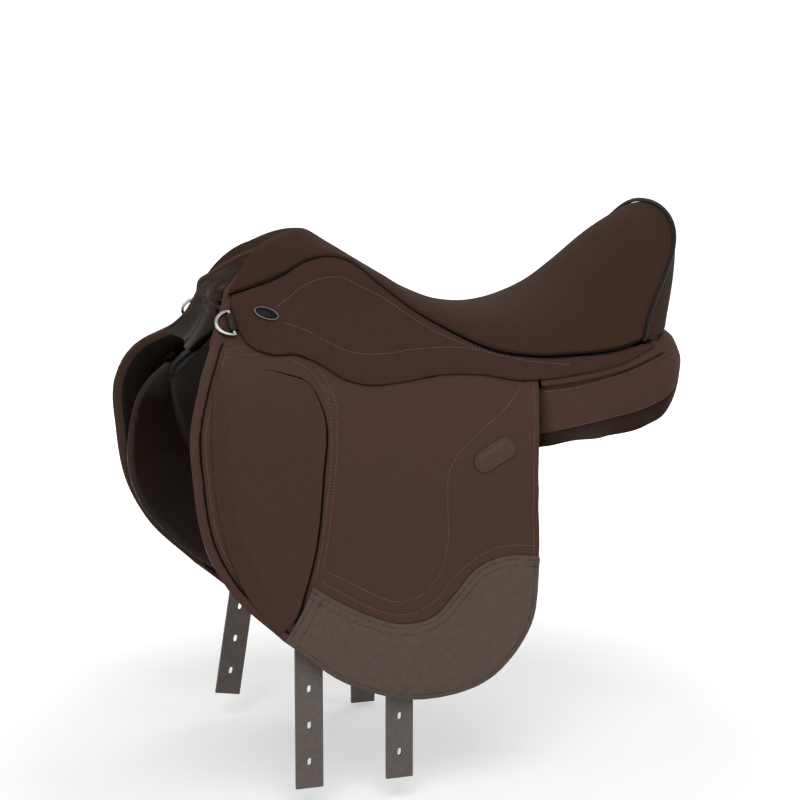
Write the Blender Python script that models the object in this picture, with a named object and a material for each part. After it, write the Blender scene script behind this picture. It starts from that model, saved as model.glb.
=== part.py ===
"""An English dressage saddle: a moulded tree with a padded seat, two stuffed panels,
knee-blocked flaps that lift, girth straps, stirrup bars with catches and front dees.

Numbers are millimetres and meshes are metres. Forward is -X, the rider's left is -Y and up
is +Z. The leather pieces of a side are flat patterns, drawn on the saddle's side view as
(x, z) and laid on one curved side form at their own depth, so that layers never meet.
"""
import bpy
import bmesh
import numpy as np
from functools import lru_cache
from math import cos, pi, radians, sin
from mathutils import Vector

MM = 0.001
SIDES = {"left": -1, "right": 1}

# Clearances
FIT = 0.4               # between pieces that touch
HINGE_GAP = 2.5         # each side of a line where leather bends

# Layers of the seat, from the top
COVER = 2.0
FOAM = 11.0
TREE = 5.0
FACING = 2.0            # front and back faces of the seat
FACING_GAP = 1.6

# Layers of a side: the flap's outer face is depth 0 and the rest are stacked from it
FLAP = 4.0
SKIRT = 3.2
STRAP = 3.5
SWEAT_FLAP = 3.0
RAIL = 6.0
STRAP_ROOM = 6.0        # from the flap's back to the straps' face
SEAT_RISE = 4.4         # the seat's edge stands this far above the flap's face

# Girth straps
STRAP_WIDTH = 27.0
STRAP_HOLE_WIDTH = 4.4
STRAP_HOLE_LENGTH = 8.0
STRAP_HOLE_STEP = 36.0
STRAP_HOLES = 6
STRAP_END = 26.0        # from the last hole to the strap's end
STRAP_LENGTH = 298.0    # below its pivot
STRAP_HEAD = 8.0        # above it
STRAP_PIVOT_Z = 6.0
# For each strap its x, its forward lean in degrees and its extra length
STRAPS = {"left": ((-142, 0, 0), (-51, 0, 0)), "right": ((-92, 9, 0), (17, 0, 22))}
WEB_HEIGHT = 32.0
WEB_GAP = 4.0           # room for the straps to swing under the web
WEB_SPARE = 2.0         # how far the web runs past the outer straps

# Trim that sits on the flap and skirt
BLOCK_RISE = 15.0
PATCH = 1.2
BADGE_LENGTH = 46.0
BADGE_WIDTH = 20.0
BADGE_THICK = 1.6
PIPING_RADIUS = 2.2
PIPING_FIT = 1.6
PIPING_PROUD = 1.6      # the piping's centre above the seat's edge
NAIL_LENGTH = 25.0
NAIL_WIDTH = 13.0
NAIL_HEIGHT = 3.2

# Stirrup bar, catch and dee
BAR_LENGTH = 96.0
BAR_HEIGHT = 12.0
BAR_THICK = 5.0
BAR_SINK = 2.5          # the bar's face under the flap's face
BAR_TURN = -13.0        # the bar's slope, degrees
FLANGE = 2.5
FLANGE_LIFT = 3.5       # the flange is flat, over a curved rail
FOOT_LENGTH = 26.0
CATCH_LENGTH = 16.0
CATCH_ROUND = 4.6
CATCH_THICK = 1.8
CATCH_PIN_RADIUS = 1.6
CATCH_PIN_SETBACK = 5.0
WINDOW_END = 17.0       # the flap's window runs this far past the bar
WINDOW_HEIGHT = 34.0
WINDOW_RISE = 7.0
RIVET_RADIUS = 3.4
RIVET_HEAD = 1.6
RIVET_SETBACK = 1.5     # forward of the foot's middle
DEE_WIRE = 3.4
DEE_WIDTH = 26.0
DEE_DEPTH = 15.0
DEE_TILT = -4.0
DEE_ROOM = 2.0          # round the wire, out to the keeper's face
DEE_LIFT = 1.6          # the keeper is straight, over a curved flap
TAB_THICK = 1.4
TAB_WIDTH = 18.0

# Gullet plate
PLATE_THICK = 3.0
PLATE_WIDTH = 40.0
PLATE_X = -106.0
PLATE_SHOULDER_Z = 186.0
PLATE_FOOT_Z = 120.0
PLATE_CROWN = 22.0

# Panels
CHANNEL = 76.0          # clear width between the panels
PANEL_ROUND = 34.0      # how far back from each end it rounds off
PANEL_LEAST = 0.10
PANEL_RINGS = 26
PANEL_EDGE = 7.0        # the panel's side lies this far inside the side form behind the flap
PANEL_ROOM = 5.0        # between the panel and the stiff pieces over it
PANEL_SAG = 2.0         # its underside hangs at most this far below its outer edge

SEAM_GAP = PIPING_RADIUS + PIPING_FIT   # from the seam to the seat's edge and to the skirt's edge
STRAP_TOP = -(FLAP + STRAP_ROOM)        # depths of the hidden layers of a side
SWEAT_TOP = STRAP_TOP - STRAP - FIT
SWEAT_BACK = SWEAT_TOP - SWEAT_FLAP
RAIL_TOP = SWEAT_BACK - FIT
RAIL_BACK = RAIL_TOP - RAIL
PLATE_TOP = RAIL_BACK - FIT

# The side form: sections at x, each listing (half width, z) from the seat's seam down.
# The fifth point of the sections in front of x = 100 lies on the flap's straight bend.
BEND_FRONT = Vector((-215.0, 88.0, 125.0))
BEND_REAR = Vector((89.0, 163.0, 40.0))
SIDE_SECTIONS = {
    -260: ((46, 176), (50, 166), (55, 156), (62, 147), None, (125, 113), (152, 91), (165, 62), (168, 20), (168, -250)),
    -190: ((49, 176), (53, 163), (58, 150), (67, 138), None, (130, 101), (153, 82), (166, 52), (168, 12), (168, -250)),
    -130: ((45, 189), (52, 172), (62, 153), (80, 131), None, (135, 83), (154, 63), (165, 38), (168, -2), (168, -250)),
    -85: ((42, 206), (50, 184), (61, 160), (83, 128), None, (141, 70), (157, 50), (166, 27), (168, -9), (168, -250)),
    -50: ((40, 192), (49, 172), (62, 151), (88, 121), None, (147, 60), (159, 41), (166, 19), (168, -16), (168, -250)),
    30: ((79, 134), (92, 123), (107, 112), (126, 95), None, (157, 38), (163, 20), (167, -2), (168, -26), (168, -250)),
    110: ((119, 109), (126, 103), (135, 95), (149, 78), None, (168, 20), (168, 5), (168, -12), (168, -30), (168, -250)),
    170: ((121, 116), (130, 108), (137, 98), (141, 88), (144, 76), (145, 62), (144, 48), (141, 34), (136, 20), (168, -250)),
    235: ((110, 134), (122, 121), (130, 110), (134, 99), (136, 88), (136, 76), (134, 64), (131, 52), (127, 40), (168, -250)),
}
STEP_X = 32.0           # spacing of the side form's facets
STEP_Z = 18.0
FLAT_BELOW_Z = -2 * STEP_Z      # under this the side form is a plane

# Outlines on the side view, front to back
SEAM = ((-186, 172), (-166, 177), (-134, 187), (-107, 201), (-84, 205), (-57, 196), (-31, 174),
        (-6, 152), (26, 131), (60, 114), (99, 107), (145, 107), (190, 111), (216, 117))
FLAP_FRONT = ((-189, 170), (-207, 135), (-237, 104), (-254, 62), (-253, 12), (-242, -50), (-221, -90), (-170, -142))
FLAP_LOW = ((-170, -142), (-106, -190), (-24, -212), (38, -198), (80, -149), (89, -84), (87, 4), (90, 52), (98, 90))
SKIRT_FRONT = ((-186, 168), (-184, 146), (-176, 125), (-159, 117), (-130, 115), (-113, 107), (-92, 93), (-69, 87),
               (-38, 88), (12, 94), (40, 93), (78, 87), (135, 90), (190, 99), (228, 113))
SKIRT_BEND = ((-192, 149), (52, 94))
SKIRT_HINGE_AT = (-180, 146.3)          # on that line, where its hinge starts
SKIRT_END = 22.0                        # x where the part that lifts ends
BLOCK_OUTLINE = (((-217, 112), (-181, 107), (-151, 99), (-131, 92), (-124, 70), (-128, 19), (-134, -65), (-147, -93),
                  (-160, -123), (-174, -137)),
                 ((-174, -137), (-208, -104), (-236, -50), (-247, 10), (-246, 60), (-236, 92), (-217, 112)))
PATCH_TOP = ((-141, -92), (-115, -109), (-85, -125), (-50, -136), (-20, -131), (0, -112), (26, -86), (50, -78), (84, -80))
PATCH_LOW = ((84, -84), (75, -149), (36, -193), (-24, -207), (-104, -185), (-162, -143))
SWEAT_OUTLINE = (((-205, 96), (-232, 50), (-243, 5), (-244, -30), (-230, -72), (-202, -106), (-166, -137), (-130, -158)),
                 ((-130, -158), (-60, -176), (0, -172), (48, -140), (70, -80), (74, -20), (74, 34)),
                 ((74, 34), (0, 52), (-80, 75), (-160, 98), (-205, 96)))
RAIL_OUTLINE = (((-176, 160), (-190, 120), (-196, 78), (-178, 72), (-160, 104), (-130, 124)),
                ((-130, 124), (-70, 102), (-20, 92), (40, 86), (96, 84)),
                ((96, 84), (96, 97)),
                ((96, 97), (60, 102), (26, 118), (-6, 138), (-31, 158), (-57, 178), (-84, 186), (-107, 182), (-140, 168),
                 (-176, 160)))
BAR_PLACE = (-66.0, 109.0)
BADGE_PLACE = (43.0, 21.0)
BADGE_TURN = 27.0
NAIL_PLACE = (-153.0, 151.0)
NAIL_TURN = 20.0
POCKET = 1.8
POCKET_OUTLINE = (((-201, 108), (-207, 86), (-200, 64), (-184, 60), (-174, 72), (-172, 94)), ((-172, 94), (-201, 108)))
CORNER_X = 219.0
CORNER_Y = 128.0
CORNER_Z = 119.0
CANTLE_FOOT_X = 268.0
CANTLE_FOOT_Z = 152.0
CANTLE_BULGE = 6.0
CANTLE_NARROW = 0.94    # the foot of the cantle's back against its top
CANTLE_LEAST = 8.0      # its height at the corners
DEE_PLACE = (-188.0, 143.0)

# The seat: x and z on the centre line, x on the seam, and the angle of its rounded edge
SEAT_STATIONS = ((-123, 226, -186, 68), (-99, 229, -140, 66), (-72, 215, -84, 50), (-44, 198, -50, 40),
                 (-20, 183, -19, 52), (4, 169, 2, 56), (39, 155, 38, 62), (75, 149, 75, 68), (107, 150, 110, 74),
                 (140, 158, 145, 78), (173, 173, 175, 80), (205, 197, 197, 82), (240, 226, 209, 84), (276, 247, 216, 86))
SEAT_ROWS = 18
SEAT_COLUMNS = 12
LEAST_SPEED = 160.0     # keeps the rows apart where they meet at the corners
DRAW_SLOPE = 0.8        # how much a lower layer draws in for its depth
FACING_RUN = 6          # rows of the cantle's back
RIM_SWEEP = 5.0         # how late the rim turns forward on its way to the corner
SEAT_EDGE_POWER = 1.1   # above 1 the seat stays flatter before it falls to its seam

# The horse's back under the panels: at x, the height at the spine, the drop at DROP_Y and its power
DROP_Y = 130.0
BACK = ((-215, 126, 150, 2.2), (-60, 84, 90, 2.0), (60, 62, 58, 1.8), (200, 50, 32, 1.6), (275, 62, 30, 1.6))
# A panel: at x, its lowest and highest z on the outside, and its inner top's z
PANEL = ((-208, 40, 120, 128), (-190, 0, 138, 146), (-150, -30, 150, 158), (-90, -30, 150, 160), (-30, -16, 128, 140),
         (30, 4, 100, 112), (90, 24, 84, 98), (130, 28, 88, 104), (180, 23, 96, 116), (225, 30, 112, 132),
         (252, 46, 132, 145), (264, 62, 132, 142), (270, 74, 122, 130))

for old in list(bpy.data.objects):
    bpy.data.objects.remove(old, do_unlink=True)


def smooth_curve(knots, values, at, steady=False):
    """Values at places along knots, on a smooth curve through every value.

    A steady curve never swings past a value: it runs level where the values do.
    """
    knots = np.asarray(knots, float)
    values = np.asarray(values, float)
    if values.ndim == 1:
        return smooth_curve(knots, values[:, None], at, steady)[..., 0]
    at = np.clip(np.asarray(at, float), knots[0], knots[-1])
    width = np.diff(knots)
    slope = np.diff(values, axis=0) / width[:, None]
    tangent = np.empty_like(values)
    tangent[0] = slope[0]
    tangent[-1] = slope[-1]
    both = (width[:-1] + width[1:])[:, None]
    tangent[1:-1] = (slope[:-1] * width[1:, None] + slope[1:] * width[:-1, None]) / both
    if steady:
        turning = np.abs(slope[:-1] * slope[1:]) < 1e-9
        tangent[1:-1][turning] = 0.0
    i = np.clip(np.searchsorted(knots, at, side="right") - 1, 0, len(knots) - 2)
    t = ((at - knots[i]) / width[i])[..., None]
    h = width[i][..., None]
    return ((2 * t**3 - 3 * t**2 + 1) * values[i] + (t**3 - 2 * t**2 + t) * h * tangent[i]
            + (3 * t**2 - 2 * t**3) * values[i + 1] + (t**3 - t**2) * h * tangent[i + 1])


def stretch(points, spacing=13.0):
    """Points every few millimetres on a smooth curve through the given ones."""
    points = np.asarray(points, float)
    along = np.concatenate([[0], np.cumsum(np.linalg.norm(np.diff(points, axis=0), axis=1))])
    count = max(1, round(along[-1] / spacing))
    return smooth_curve(along, points, np.linspace(0, along[-1], count + 1))


def outline(*stretches):
    """A closed outline of smooth stretches that meet in corners."""
    points = []
    for part in stretches:
        points.extend(tuple(p) for p in stretch(part))
    kept = [points[0]]
    for p in points[1:]:
        if np.hypot(p[0] - kept[-1][0], p[1] - kept[-1][1]) > 1.0:
            kept.append(p)
    if np.hypot(kept[0][0] - kept[-1][0], kept[0][1] - kept[-1][1]) < 1.0:
        kept.pop()
    return kept


def bend_point(x):
    """The half width and height of the flap's bend at x."""
    share = (x - BEND_FRONT.x) / (BEND_REAR.x - BEND_FRONT.x)
    place = BEND_FRONT.lerp(BEND_REAR, share)
    return place.y, place.z


def side_lattice():
    """Corners and outward normals of the side form's facets."""
    lines_x = np.arange(-9, 10) * STEP_X
    lines_z = np.arange(-14, 14) * STEP_Z
    stations = sorted(SIDE_SECTIONS)
    net = np.array([[bend_point(x) if p is None else p for p in SIDE_SECTIONS[x]] for x in stations], float)
    net = np.concatenate([2 * net[:, :1] - net[:, 1:2], net], axis=1)

    def half_width(x, z):
        section = np.stack([smooth_curve(stations, net[:, k], x, True) for k in range(net.shape[1])])
        along = np.concatenate([[0], np.cumsum(np.linalg.norm(np.diff(section, axis=0), axis=1))])
        dense = smooth_curve(along, section, np.linspace(0, along[-1], 240), True)[::-1]
        return np.interp(z, np.maximum.accumulate(dense[:, 1]), dense[:, 0])

    reach = 5.0
    width = np.stack([half_width(x, lines_z) for x in lines_x])
    slope_x = np.stack([half_width(x + reach, lines_z) - half_width(x - reach, lines_z) for x in lines_x])
    slope_z = np.stack([half_width(x, lines_z + reach) - half_width(x, lines_z - reach) for x in lines_x])
    grid_x, grid_z = np.meshgrid(lines_x, lines_z, indexing="ij")
    normals = np.stack([-slope_x / (2 * reach), np.ones_like(width), -slope_z / (2 * reach)], -1)
    normals /= np.linalg.norm(normals, axis=-1, keepdims=True)
    return np.stack([grid_x, width, grid_z], -1), normals


CORNERS, NORMALS = side_lattice()


def lay(x, z, depth, side=1):
    """The point of the side form under the pattern point (x, z), depth above the flap's face."""
    row = (x - CORNERS[0, 0, 0]) / STEP_X
    column = (z - CORNERS[0, 0, 2]) / STEP_Z
    i = min(max(int(row), 0), len(CORNERS) - 2)
    j = min(max(int(column), 0), len(CORNERS[0]) - 2)
    a = row - i
    b = column - j
    if a + b <= 1:
        shares = (((i, j), 1 - a - b), ((i + 1, j), a), ((i, j + 1), b))
    else:
        shares = (((i + 1, j + 1), a + b - 1), ((i, j + 1), 1 - a), ((i + 1, j), 1 - b))
    place = sum(share * (CORNERS[k] + depth * NORMALS[k]) for k, share in shares)
    return Vector((place[0], side * place[1], place[2]))


def material(name, colour, roughness, metallic=0.0):
    made = bpy.data.materials.new(name)
    made.use_nodes = True
    shader = made.node_tree.nodes["Principled BSDF"]
    shader.inputs["Base Color"].default_value = (*colour, 1)
    shader.inputs["Roughness"].default_value = roughness
    shader.inputs["Metallic"].default_value = metallic
    return made


SUEDE = material("seat_suede", (0.050, 0.033, 0.026), 0.85)
FABRIC = material("brown_fabric", (0.056, 0.038, 0.030), 0.80)
PATCH_LEATHER = material("grey_brown_leather", (0.085, 0.065, 0.055), 0.55)
DARK_LEATHER = material("dark_leather", (0.018, 0.012, 0.010), 0.38)
STRAP_LEATHER = material("strap_leather", (0.045, 0.042, 0.040), 0.6)
PANEL_LEATHER = material("panel_leather", (0.030, 0.018, 0.013), 0.4)
FOAM_STUFF = material("foam", (0.55, 0.52, 0.40), 0.95)
TREE_PLASTIC = material("tree_plastic", (0.03, 0.03, 0.03), 0.5)
STEEL = material("steel", (0.45, 0.45, 0.46), 0.3, 1.0)
CHROME = material("chrome", (0.75, 0.75, 0.77), 0.12, 1.0)
WEBBING = material("webbing", (0.10, 0.09, 0.08), 0.9)


def finish(mesh, name, stuff, smooth=40.0, pivot=None):
    """Make an object of a bmesh in millimetres, with its origin on its joint's axis."""
    bmesh.ops.recalc_face_normals(mesh, faces=mesh.faces[:])
    origin = Vector((0, 0, 0)) if pivot is None else Vector(pivot)
    bmesh.ops.translate(mesh, verts=mesh.verts[:], vec=-origin)
    bmesh.ops.scale(mesh, verts=mesh.verts[:], vec=(MM, MM, MM))
    data = bpy.data.meshes.new(name)
    mesh.to_mesh(data)
    mesh.free()
    data.materials.append(stuff)
    data.shade_smooth()
    data.set_sharp_from_angle(angle=radians(smooth))
    made = bpy.data.objects.new(name, data)
    made.location = origin * MM
    bpy.context.collection.objects.link(made)
    return made


def cut_facets(mesh, place, normal, everywhere=False):
    """Cut a pattern along one line, only where the side form is curved."""
    faces = [f for f in mesh.faces if everywhere or f.calc_center_bounds().z > FLAT_BELOW_Z]
    edges = {e for f in faces for e in f.edges}
    verts = {v for f in faces for v in f.verts}
    bmesh.ops.bisect_plane(mesh, geom=[*verts, *edges, *faces], dist=1e-4, plane_co=place, plane_no=normal)


def pattern(points):
    """A flat pattern in x and z, cut along the side form's facets."""
    mesh = bmesh.new()
    mesh.faces.new([mesh.verts.new((x, 0, z)) for x, z in points])
    cut_facets(mesh, (0, 0, FLAT_BELOW_Z), (0, 0, 1), True)
    for normal, spacing in (((1, 0, 0), STEP_X), ((0, 0, 1), STEP_Z)):
        places = [Vector(normal).dot(v.co) for v in mesh.verts]
        for k in range(int(min(places) // spacing), int(max(places) // spacing) + 1):
            cut_facets(mesh, Vector(normal) * (k * spacing), normal)
    diagonal = Vector((1 / STEP_X, 0, 1 / STEP_Z))
    places = [diagonal.dot(v.co) for v in mesh.verts]
    for k in range(int(min(places) // 1), int(max(places) // 1) + 1):
        cut_facets(mesh, (k * STEP_X, 0, 0), diagonal)
    return mesh


def cut_pattern(mesh, start, end, keep_below, gap):
    """Cut a pattern along a line, gap away from it, and keep one side."""
    along = Vector((end[0] - start[0], 0, end[1] - start[1])).normalized()
    up = Vector((-along.z, 0, along.x))
    sense = -1 if keep_below else 1
    place = Vector((start[0], 0, start[1])) + sense * gap * up
    bmesh.ops.bisect_plane(mesh, geom=mesh.verts[:] + mesh.edges[:] + mesh.faces[:], dist=1e-4,
                           plane_co=place, plane_no=-sense * up, clear_outer=True)


def drape(mesh, name, side, low, high, stuff, pivot=None):
    """Lay a pattern on the side form as a sheet between two depths; high may be a function."""
    bottom = mesh.faces[:]
    top = bmesh.ops.extrude_face_region(mesh, geom=bottom)["geom"]
    raised = {v for v in top if isinstance(v, bmesh.types.BMVert)}
    for v in mesh.verts:
        depth = low
        if v in raised:
            depth = high(v.co.x, v.co.z) if callable(high) else high
        v.co = lay(v.co.x, v.co.z, depth, side)
    return finish(mesh, name, stuff, 50.0, pivot)


def shell(rows_out, rows_in, name, stuff, smooth=40.0, pivot=None):
    """A closed solid between two grids of points."""
    mesh = bmesh.new()
    outer = [[mesh.verts.new(p) for p in row] for row in rows_out]
    inner = [[mesh.verts.new(p) for p in row] for row in rows_in]
    count = len(outer)
    width = len(outer[0])
    for i in range(count - 1):
        for j in range(width - 1):
            mesh.faces.new((outer[i][j], outer[i + 1][j], outer[i + 1][j + 1], outer[i][j + 1]))
            mesh.faces.new((inner[i][j], inner[i][j + 1], inner[i + 1][j + 1], inner[i + 1][j]))
    for i in range(count - 1):
        for j in (0, width - 1):
            mesh.faces.new((outer[i][j], outer[i + 1][j], inner[i + 1][j], inner[i][j]))
    for j in range(width - 1):
        for i in (0, count - 1):
            mesh.faces.new((outer[i][j], outer[i][j + 1], inner[i][j + 1], inner[i][j]))
    return finish(mesh, name, stuff, smooth, pivot)


def loft(rings, name, stuff, smooth=50.0, pivot=None):
    """A closed solid through rings of as many points each, with flat ends."""
    mesh = bmesh.new()
    made = [[mesh.verts.new(p) for p in ring] for ring in rings]
    count = len(made[0])
    for first, second in zip(made, made[1:]):
        for k in range(count):
            following = (k + 1) % count
            mesh.faces.new((first[k], first[following], second[following], second[k]))
    mesh.faces.new(made[0])
    mesh.faces.new(made[-1])
    return finish(mesh, name, stuff, smooth, pivot)


def seam_line(start, end, drop=0.0):
    """The seam on the pattern between two x, drop below it."""
    table = np.array(SEAM, float)
    places = np.linspace(start, end, max(2, round(abs(end - start) / 9)))
    return tuple((x, float(smooth_curve(table[:, 0], table[:, 1], x)) - drop) for x in places)


def seat_point(u, v):
    """The seat's top at u from front to back and v from the left seam, -1, to the right, 1."""
    table = np.array(SEAT_STATIONS, float)
    place = u * (len(table) - 1)
    centre_x, centre_z, edge_x, angle = smooth_curve(np.arange(len(table)), table, place)
    edge = lay(*seam_line(edge_x, edge_x)[0], SEAT_RISE)
    turn = radians(angle) * abs(v)
    across = sin(turn) / sin(radians(angle))
    fall = ((1 - cos(turn)) / (1 - cos(radians(angle)))) ** SEAT_EDGE_POWER
    late = max(0.0, u - 0.6) / 0.4
    sweep = across ** (1 + (RIM_SWEEP - 1) * late)
    x = centre_x + (edge.x - centre_x) * sweep
    z = centre_z - (centre_z - edge.z) * fall
    return Vector((x, (1 if v > 0 else -1) * edge.y * across, z))


def seat_normal(u, v):
    step = 0.01
    along = seat_point(min(u + step, 1), v) - seat_point(max(u - step, 0), v)
    across = seat_point(u, min(v + step, 1)) - seat_point(u, max(v - step, -1))
    return along.cross(across).normalized()


@lru_cache(maxsize=None)
def edge_speed(u):
    """Millimetres of the seat's surface for each unit of v beside the seam."""
    step = 0.05
    return (seat_point(u, 1) - seat_point(u, 1 - step)).length / step


@lru_cache(maxsize=None)
def end_speed(end, v):
    """Millimetres of the seat's surface for each unit of u beside its front or its rim."""
    step = 0.03
    inner = step if end == 0 else 1 - step
    return max((seat_point(end, v) - seat_point(inner, v)).length / step, LEAST_SPEED)


def draw_in(depth):
    """How far a layer's edge stays back from the seat's edge."""
    return SEAM_GAP + DRAW_SLOPE * depth


def layer_place(i, j, depth):
    """Row i and column j of a layer of the seat, depth below its top."""
    inset = draw_in(depth)
    column = 2 * j / SEAT_COLUMNS - 1
    start = inset / end_speed(0, column)
    stop = 1 - inset / end_speed(1, column)
    u = start + (stop - start) * i / SEAT_ROWS
    v = column * (1 - inset / edge_speed(u))
    return seat_point(u, v) - seat_normal(u, v) * depth


def seat_grid(depth):
    """A whole layer surface of the seat, drawn in from its edge."""
    return [[layer_place(i, j, depth) for j in range(SEAT_COLUMNS + 1)] for i in range(SEAT_ROWS + 1)]


def build_seat():
    layers = (("seat_cover", COVER, SUEDE), ("seat_foam", FOAM, FOAM_STUFF), ("tree_shell", TREE, TREE_PLASTIC))
    top = 0.0
    for name, thickness, stuff in layers:
        bottom = top + thickness
        shell(seat_grid(top), seat_grid(bottom), name, stuff, 60.0)
        top += thickness + FIT


def horse_back(x, y):
    """The height of the horse's back at x and y, where the panels lie."""
    table = np.array(BACK, float)
    spine, drop, power = smooth_curve(table[:, 0], table[:, 1:], x)
    return spine - drop * (abs(y) / DROP_Y) ** power


def panel_ring(x, low, high, inner, side):
    """One section of a panel, counted round from its inner top."""
    behind = min(max((x - 112) / 30, 0), 1)
    outside = []
    for k in range(7):
        z = high + (low - high) * k / 6
        stiff = min(max((z - 20) / 40, 0), 1)
        under = (SWEAT_BACK + (PLATE_TOP - PLATE_THICK - SWEAT_BACK) * stiff) - PANEL_ROOM
        outside.append(lay(x, z, under * (1 - behind) - PANEL_EDGE * behind))
    middle = CHANNEL / 2
    top = outside[0]
    inner = min(inner, top.z + 0.4 * (top.y - middle)) if behind < 1 else inner
    floor = horse_back(x, middle)
    out_y = outside[-1].y
    ring = [(middle + 4, inner), (middle, inner - 4)]
    ring += [(middle, inner - 4 + (floor + 11 - inner) * k / 2) for k in range(1, 3)]
    ring += [(y, max(horse_back(x, y), low - PANEL_SAG)) for y in np.linspace(middle + 5, out_y - 16, 6)]
    lowest = ring[-1]
    ring.append(((lowest[0] + out_y) / 2 + 2, (lowest[1] + outside[-1].z) / 2 - 1))
    cross = [Vector((x, y, z)) for y, z in ring] + outside[::-1]
    cross.append((top + cross[0]) / 2)
    nearest = min(x - PANEL[0][0], PANEL[-1][0] - x)
    round_off = max(PANEL_LEAST, 1 - (1 - min(nearest / PANEL_ROUND, 1)) ** 2) ** 0.5
    centre = sum(cross, Vector()) / len(cross)
    drawn = [Vector((p.x, centre.y + (p.y - centre.y) * round_off, centre.z + (p.z - centre.z) * round_off)) for p in cross]
    return [Vector((p.x, side * p.y, p.z)) for p in drawn]


def build_panel(name, side):
    table = np.array(PANEL, float)
    share = np.linspace(-1, 1, PANEL_RINGS)
    places = (table[0, 0] + table[-1, 0]) / 2 + (table[-1, 0] - table[0, 0]) / 2 * np.sin(share * pi / 2)
    rings = []
    for x in places:
        low, high, inner = smooth_curve(table[:, 0], table[:, 1:], x)
        rings.append(panel_ring(x, low, high, inner, side))
    loft(rings, f"{name}_panel", PANEL_LEATHER)


def block_height(x, z):
    """The knee block's rise: steep along its front, falling away behind."""
    front = np.interp(z, [p[1] for p in (FLAP_FRONT[::-1])], [p[0] for p in (FLAP_FRONT[::-1])])
    share = min(max((x - front) / 120.0, 0.0), 1.0)
    rim = min(max((x - front - 6.0) / 10.0, 0.0), 1.0)
    ends = min(max((112.0 - z) / 26.0, 0.05), 1.0) * min(max((z + 137.0) / 60.0, 0.05), 1.0)
    return FIT + 1.0 + (BLOCK_RISE - 1.0) * (rim ** 0.5) * (cos(share * pi / 2) ** 0.8 + 0.12) / 1.12 * ends ** 0.5


def flap_pattern():
    top = seam_line(98, -186, SEAM_GAP)
    return pattern(outline(FLAP_FRONT, FLAP_LOW, (FLAP_LOW[-1], top[0]), top, (top[-1], FLAP_FRONT[0])))


def build_side(name, side):
    bend = ((BEND_FRONT.x, BEND_FRONT.z), (BEND_REAR.x, BEND_REAR.z))
    pivot = Vector((BEND_FRONT.x, side * BEND_FRONT.y, BEND_FRONT.z))
    fixed = flap_pattern()
    cut_pattern(fixed, *bend, False, HINGE_GAP)
    flap_top = drape(fixed, f"{name}_flap_top", side, -FLAP, 0.0, FABRIC)
    moving = flap_pattern()
    cut_pattern(moving, *bend, True, HINGE_GAP)
    drape(moving, f"{name}_flap", side, -FLAP, 0.0, FABRIC, pivot)
    block = pattern(outline(*BLOCK_OUTLINE))
    drape(block, f"{name}_knee_block", side, FIT, block_height, FABRIC, pivot)
    patch = pattern(outline(PATCH_TOP, (PATCH_TOP[-1], PATCH_LOW[0]), PATCH_LOW, (PATCH_LOW[-1], PATCH_TOP[0])))
    drape(patch, f"{name}_flap_patch", side, FIT, FIT + PATCH, PATCH_LEATHER, pivot)
    top = seam_line(214, -186, SEAM_GAP)
    skirt_outline = outline(SKIRT_FRONT, (SKIRT_FRONT[-1], top[0]), top)
    skirt_low = FIT
    skirt_high = FIT + SKIRT
    fixed = pattern(skirt_outline)
    cut_pattern(fixed, *SKIRT_BEND, False, HINGE_GAP)
    drape(fixed, f"{name}_skirt_top", side, skirt_low, skirt_high, FABRIC)
    moving = pattern(skirt_outline)
    cut_pattern(moving, *SKIRT_BEND, True, HINGE_GAP)
    bmesh.ops.bisect_plane(moving, geom=moving.verts[:] + moving.edges[:] + moving.faces[:], dist=1e-4,
                           plane_co=(SKIRT_END, 0, 0), plane_no=(1, 0, 0), clear_outer=True)
    skirt_pivot = lay(*SKIRT_HINGE_AT, skirt_high, side)
    drape(moving, f"{name}_skirt", side, skirt_low, skirt_high, FABRIC, skirt_pivot)
    drape(pattern(outline(*SWEAT_OUTLINE)), f"{name}_sweat_flap", side, SWEAT_BACK, SWEAT_TOP, DARK_LEATHER)
    drape(pattern(outline(*RAIL_OUTLINE)), f"{name}_tree_rail", side, RAIL_BACK, RAIL_TOP, TREE_PLASTIC)
    build_panel(name, side)
    build_bar(name, side, flap_top)
    build_dee(name, side)
    build_straps(name, side)
    build_trim(name, side, pivot)


def end_direction(i, j):
    """Away from the seat at its front row, 0, or at its rim."""
    step = 1 if i == 0 else -1
    return (layer_place(i, j, 0) - layer_place(i + step, j, 0)).normalized()


def build_facings():
    """The pommel's front face, and the cantle's back from the rim down to the panels."""
    whole = COVER + FOAM + TREE + 2 * FIT
    columns = range(SEAT_COLUMNS + 1)
    rows_out = []
    rows_in = []
    for k in range(4):
        depth = PIPING_RADIUS + (whole - PIPING_RADIUS) * k / 3
        rows_in.append([layer_place(0, j, depth) + end_direction(0, j) * FACING_GAP for j in columns])
        rows_out.append([layer_place(0, j, depth) + end_direction(0, j) * (FACING_GAP + FACING) for j in columns])
    shell(rows_out, rows_in, "pommel_facing", FABRIC, 60.0)
    rows_out = []
    rows_in = []
    last = SEAT_ROWS
    for k in range(FACING_RUN + 1):
        share = k / FACING_RUN
        outer = []
        inner = []
        for j in columns:
            away = end_direction(last, j)
            start = layer_place(last, j, PIPING_RADIUS)
            across = start.y / CORNER_Y
            flat = max(0.0, 1 - across * across)
            foot = Vector((CORNER_X + (CANTLE_FOOT_X - CORNER_X) * flat ** 0.4, start.y * CANTLE_NARROW,
                           min(CORNER_Z + (CANTLE_FOOT_Z - CORNER_Z) * flat, start.z - CANTLE_LEAST)))
            place = start.lerp(foot, share) + Vector((1, 0, 0)) * CANTLE_BULGE * sin(pi * share) * flat
            outer.append(place + away * (FACING_GAP + FACING))
            inner.append(place + away * FACING_GAP)
        rows_out.append(outer)
        rows_in.append(inner)
    shell(rows_out, rows_in, "cantle_facing", FABRIC, 60.0)


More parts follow.
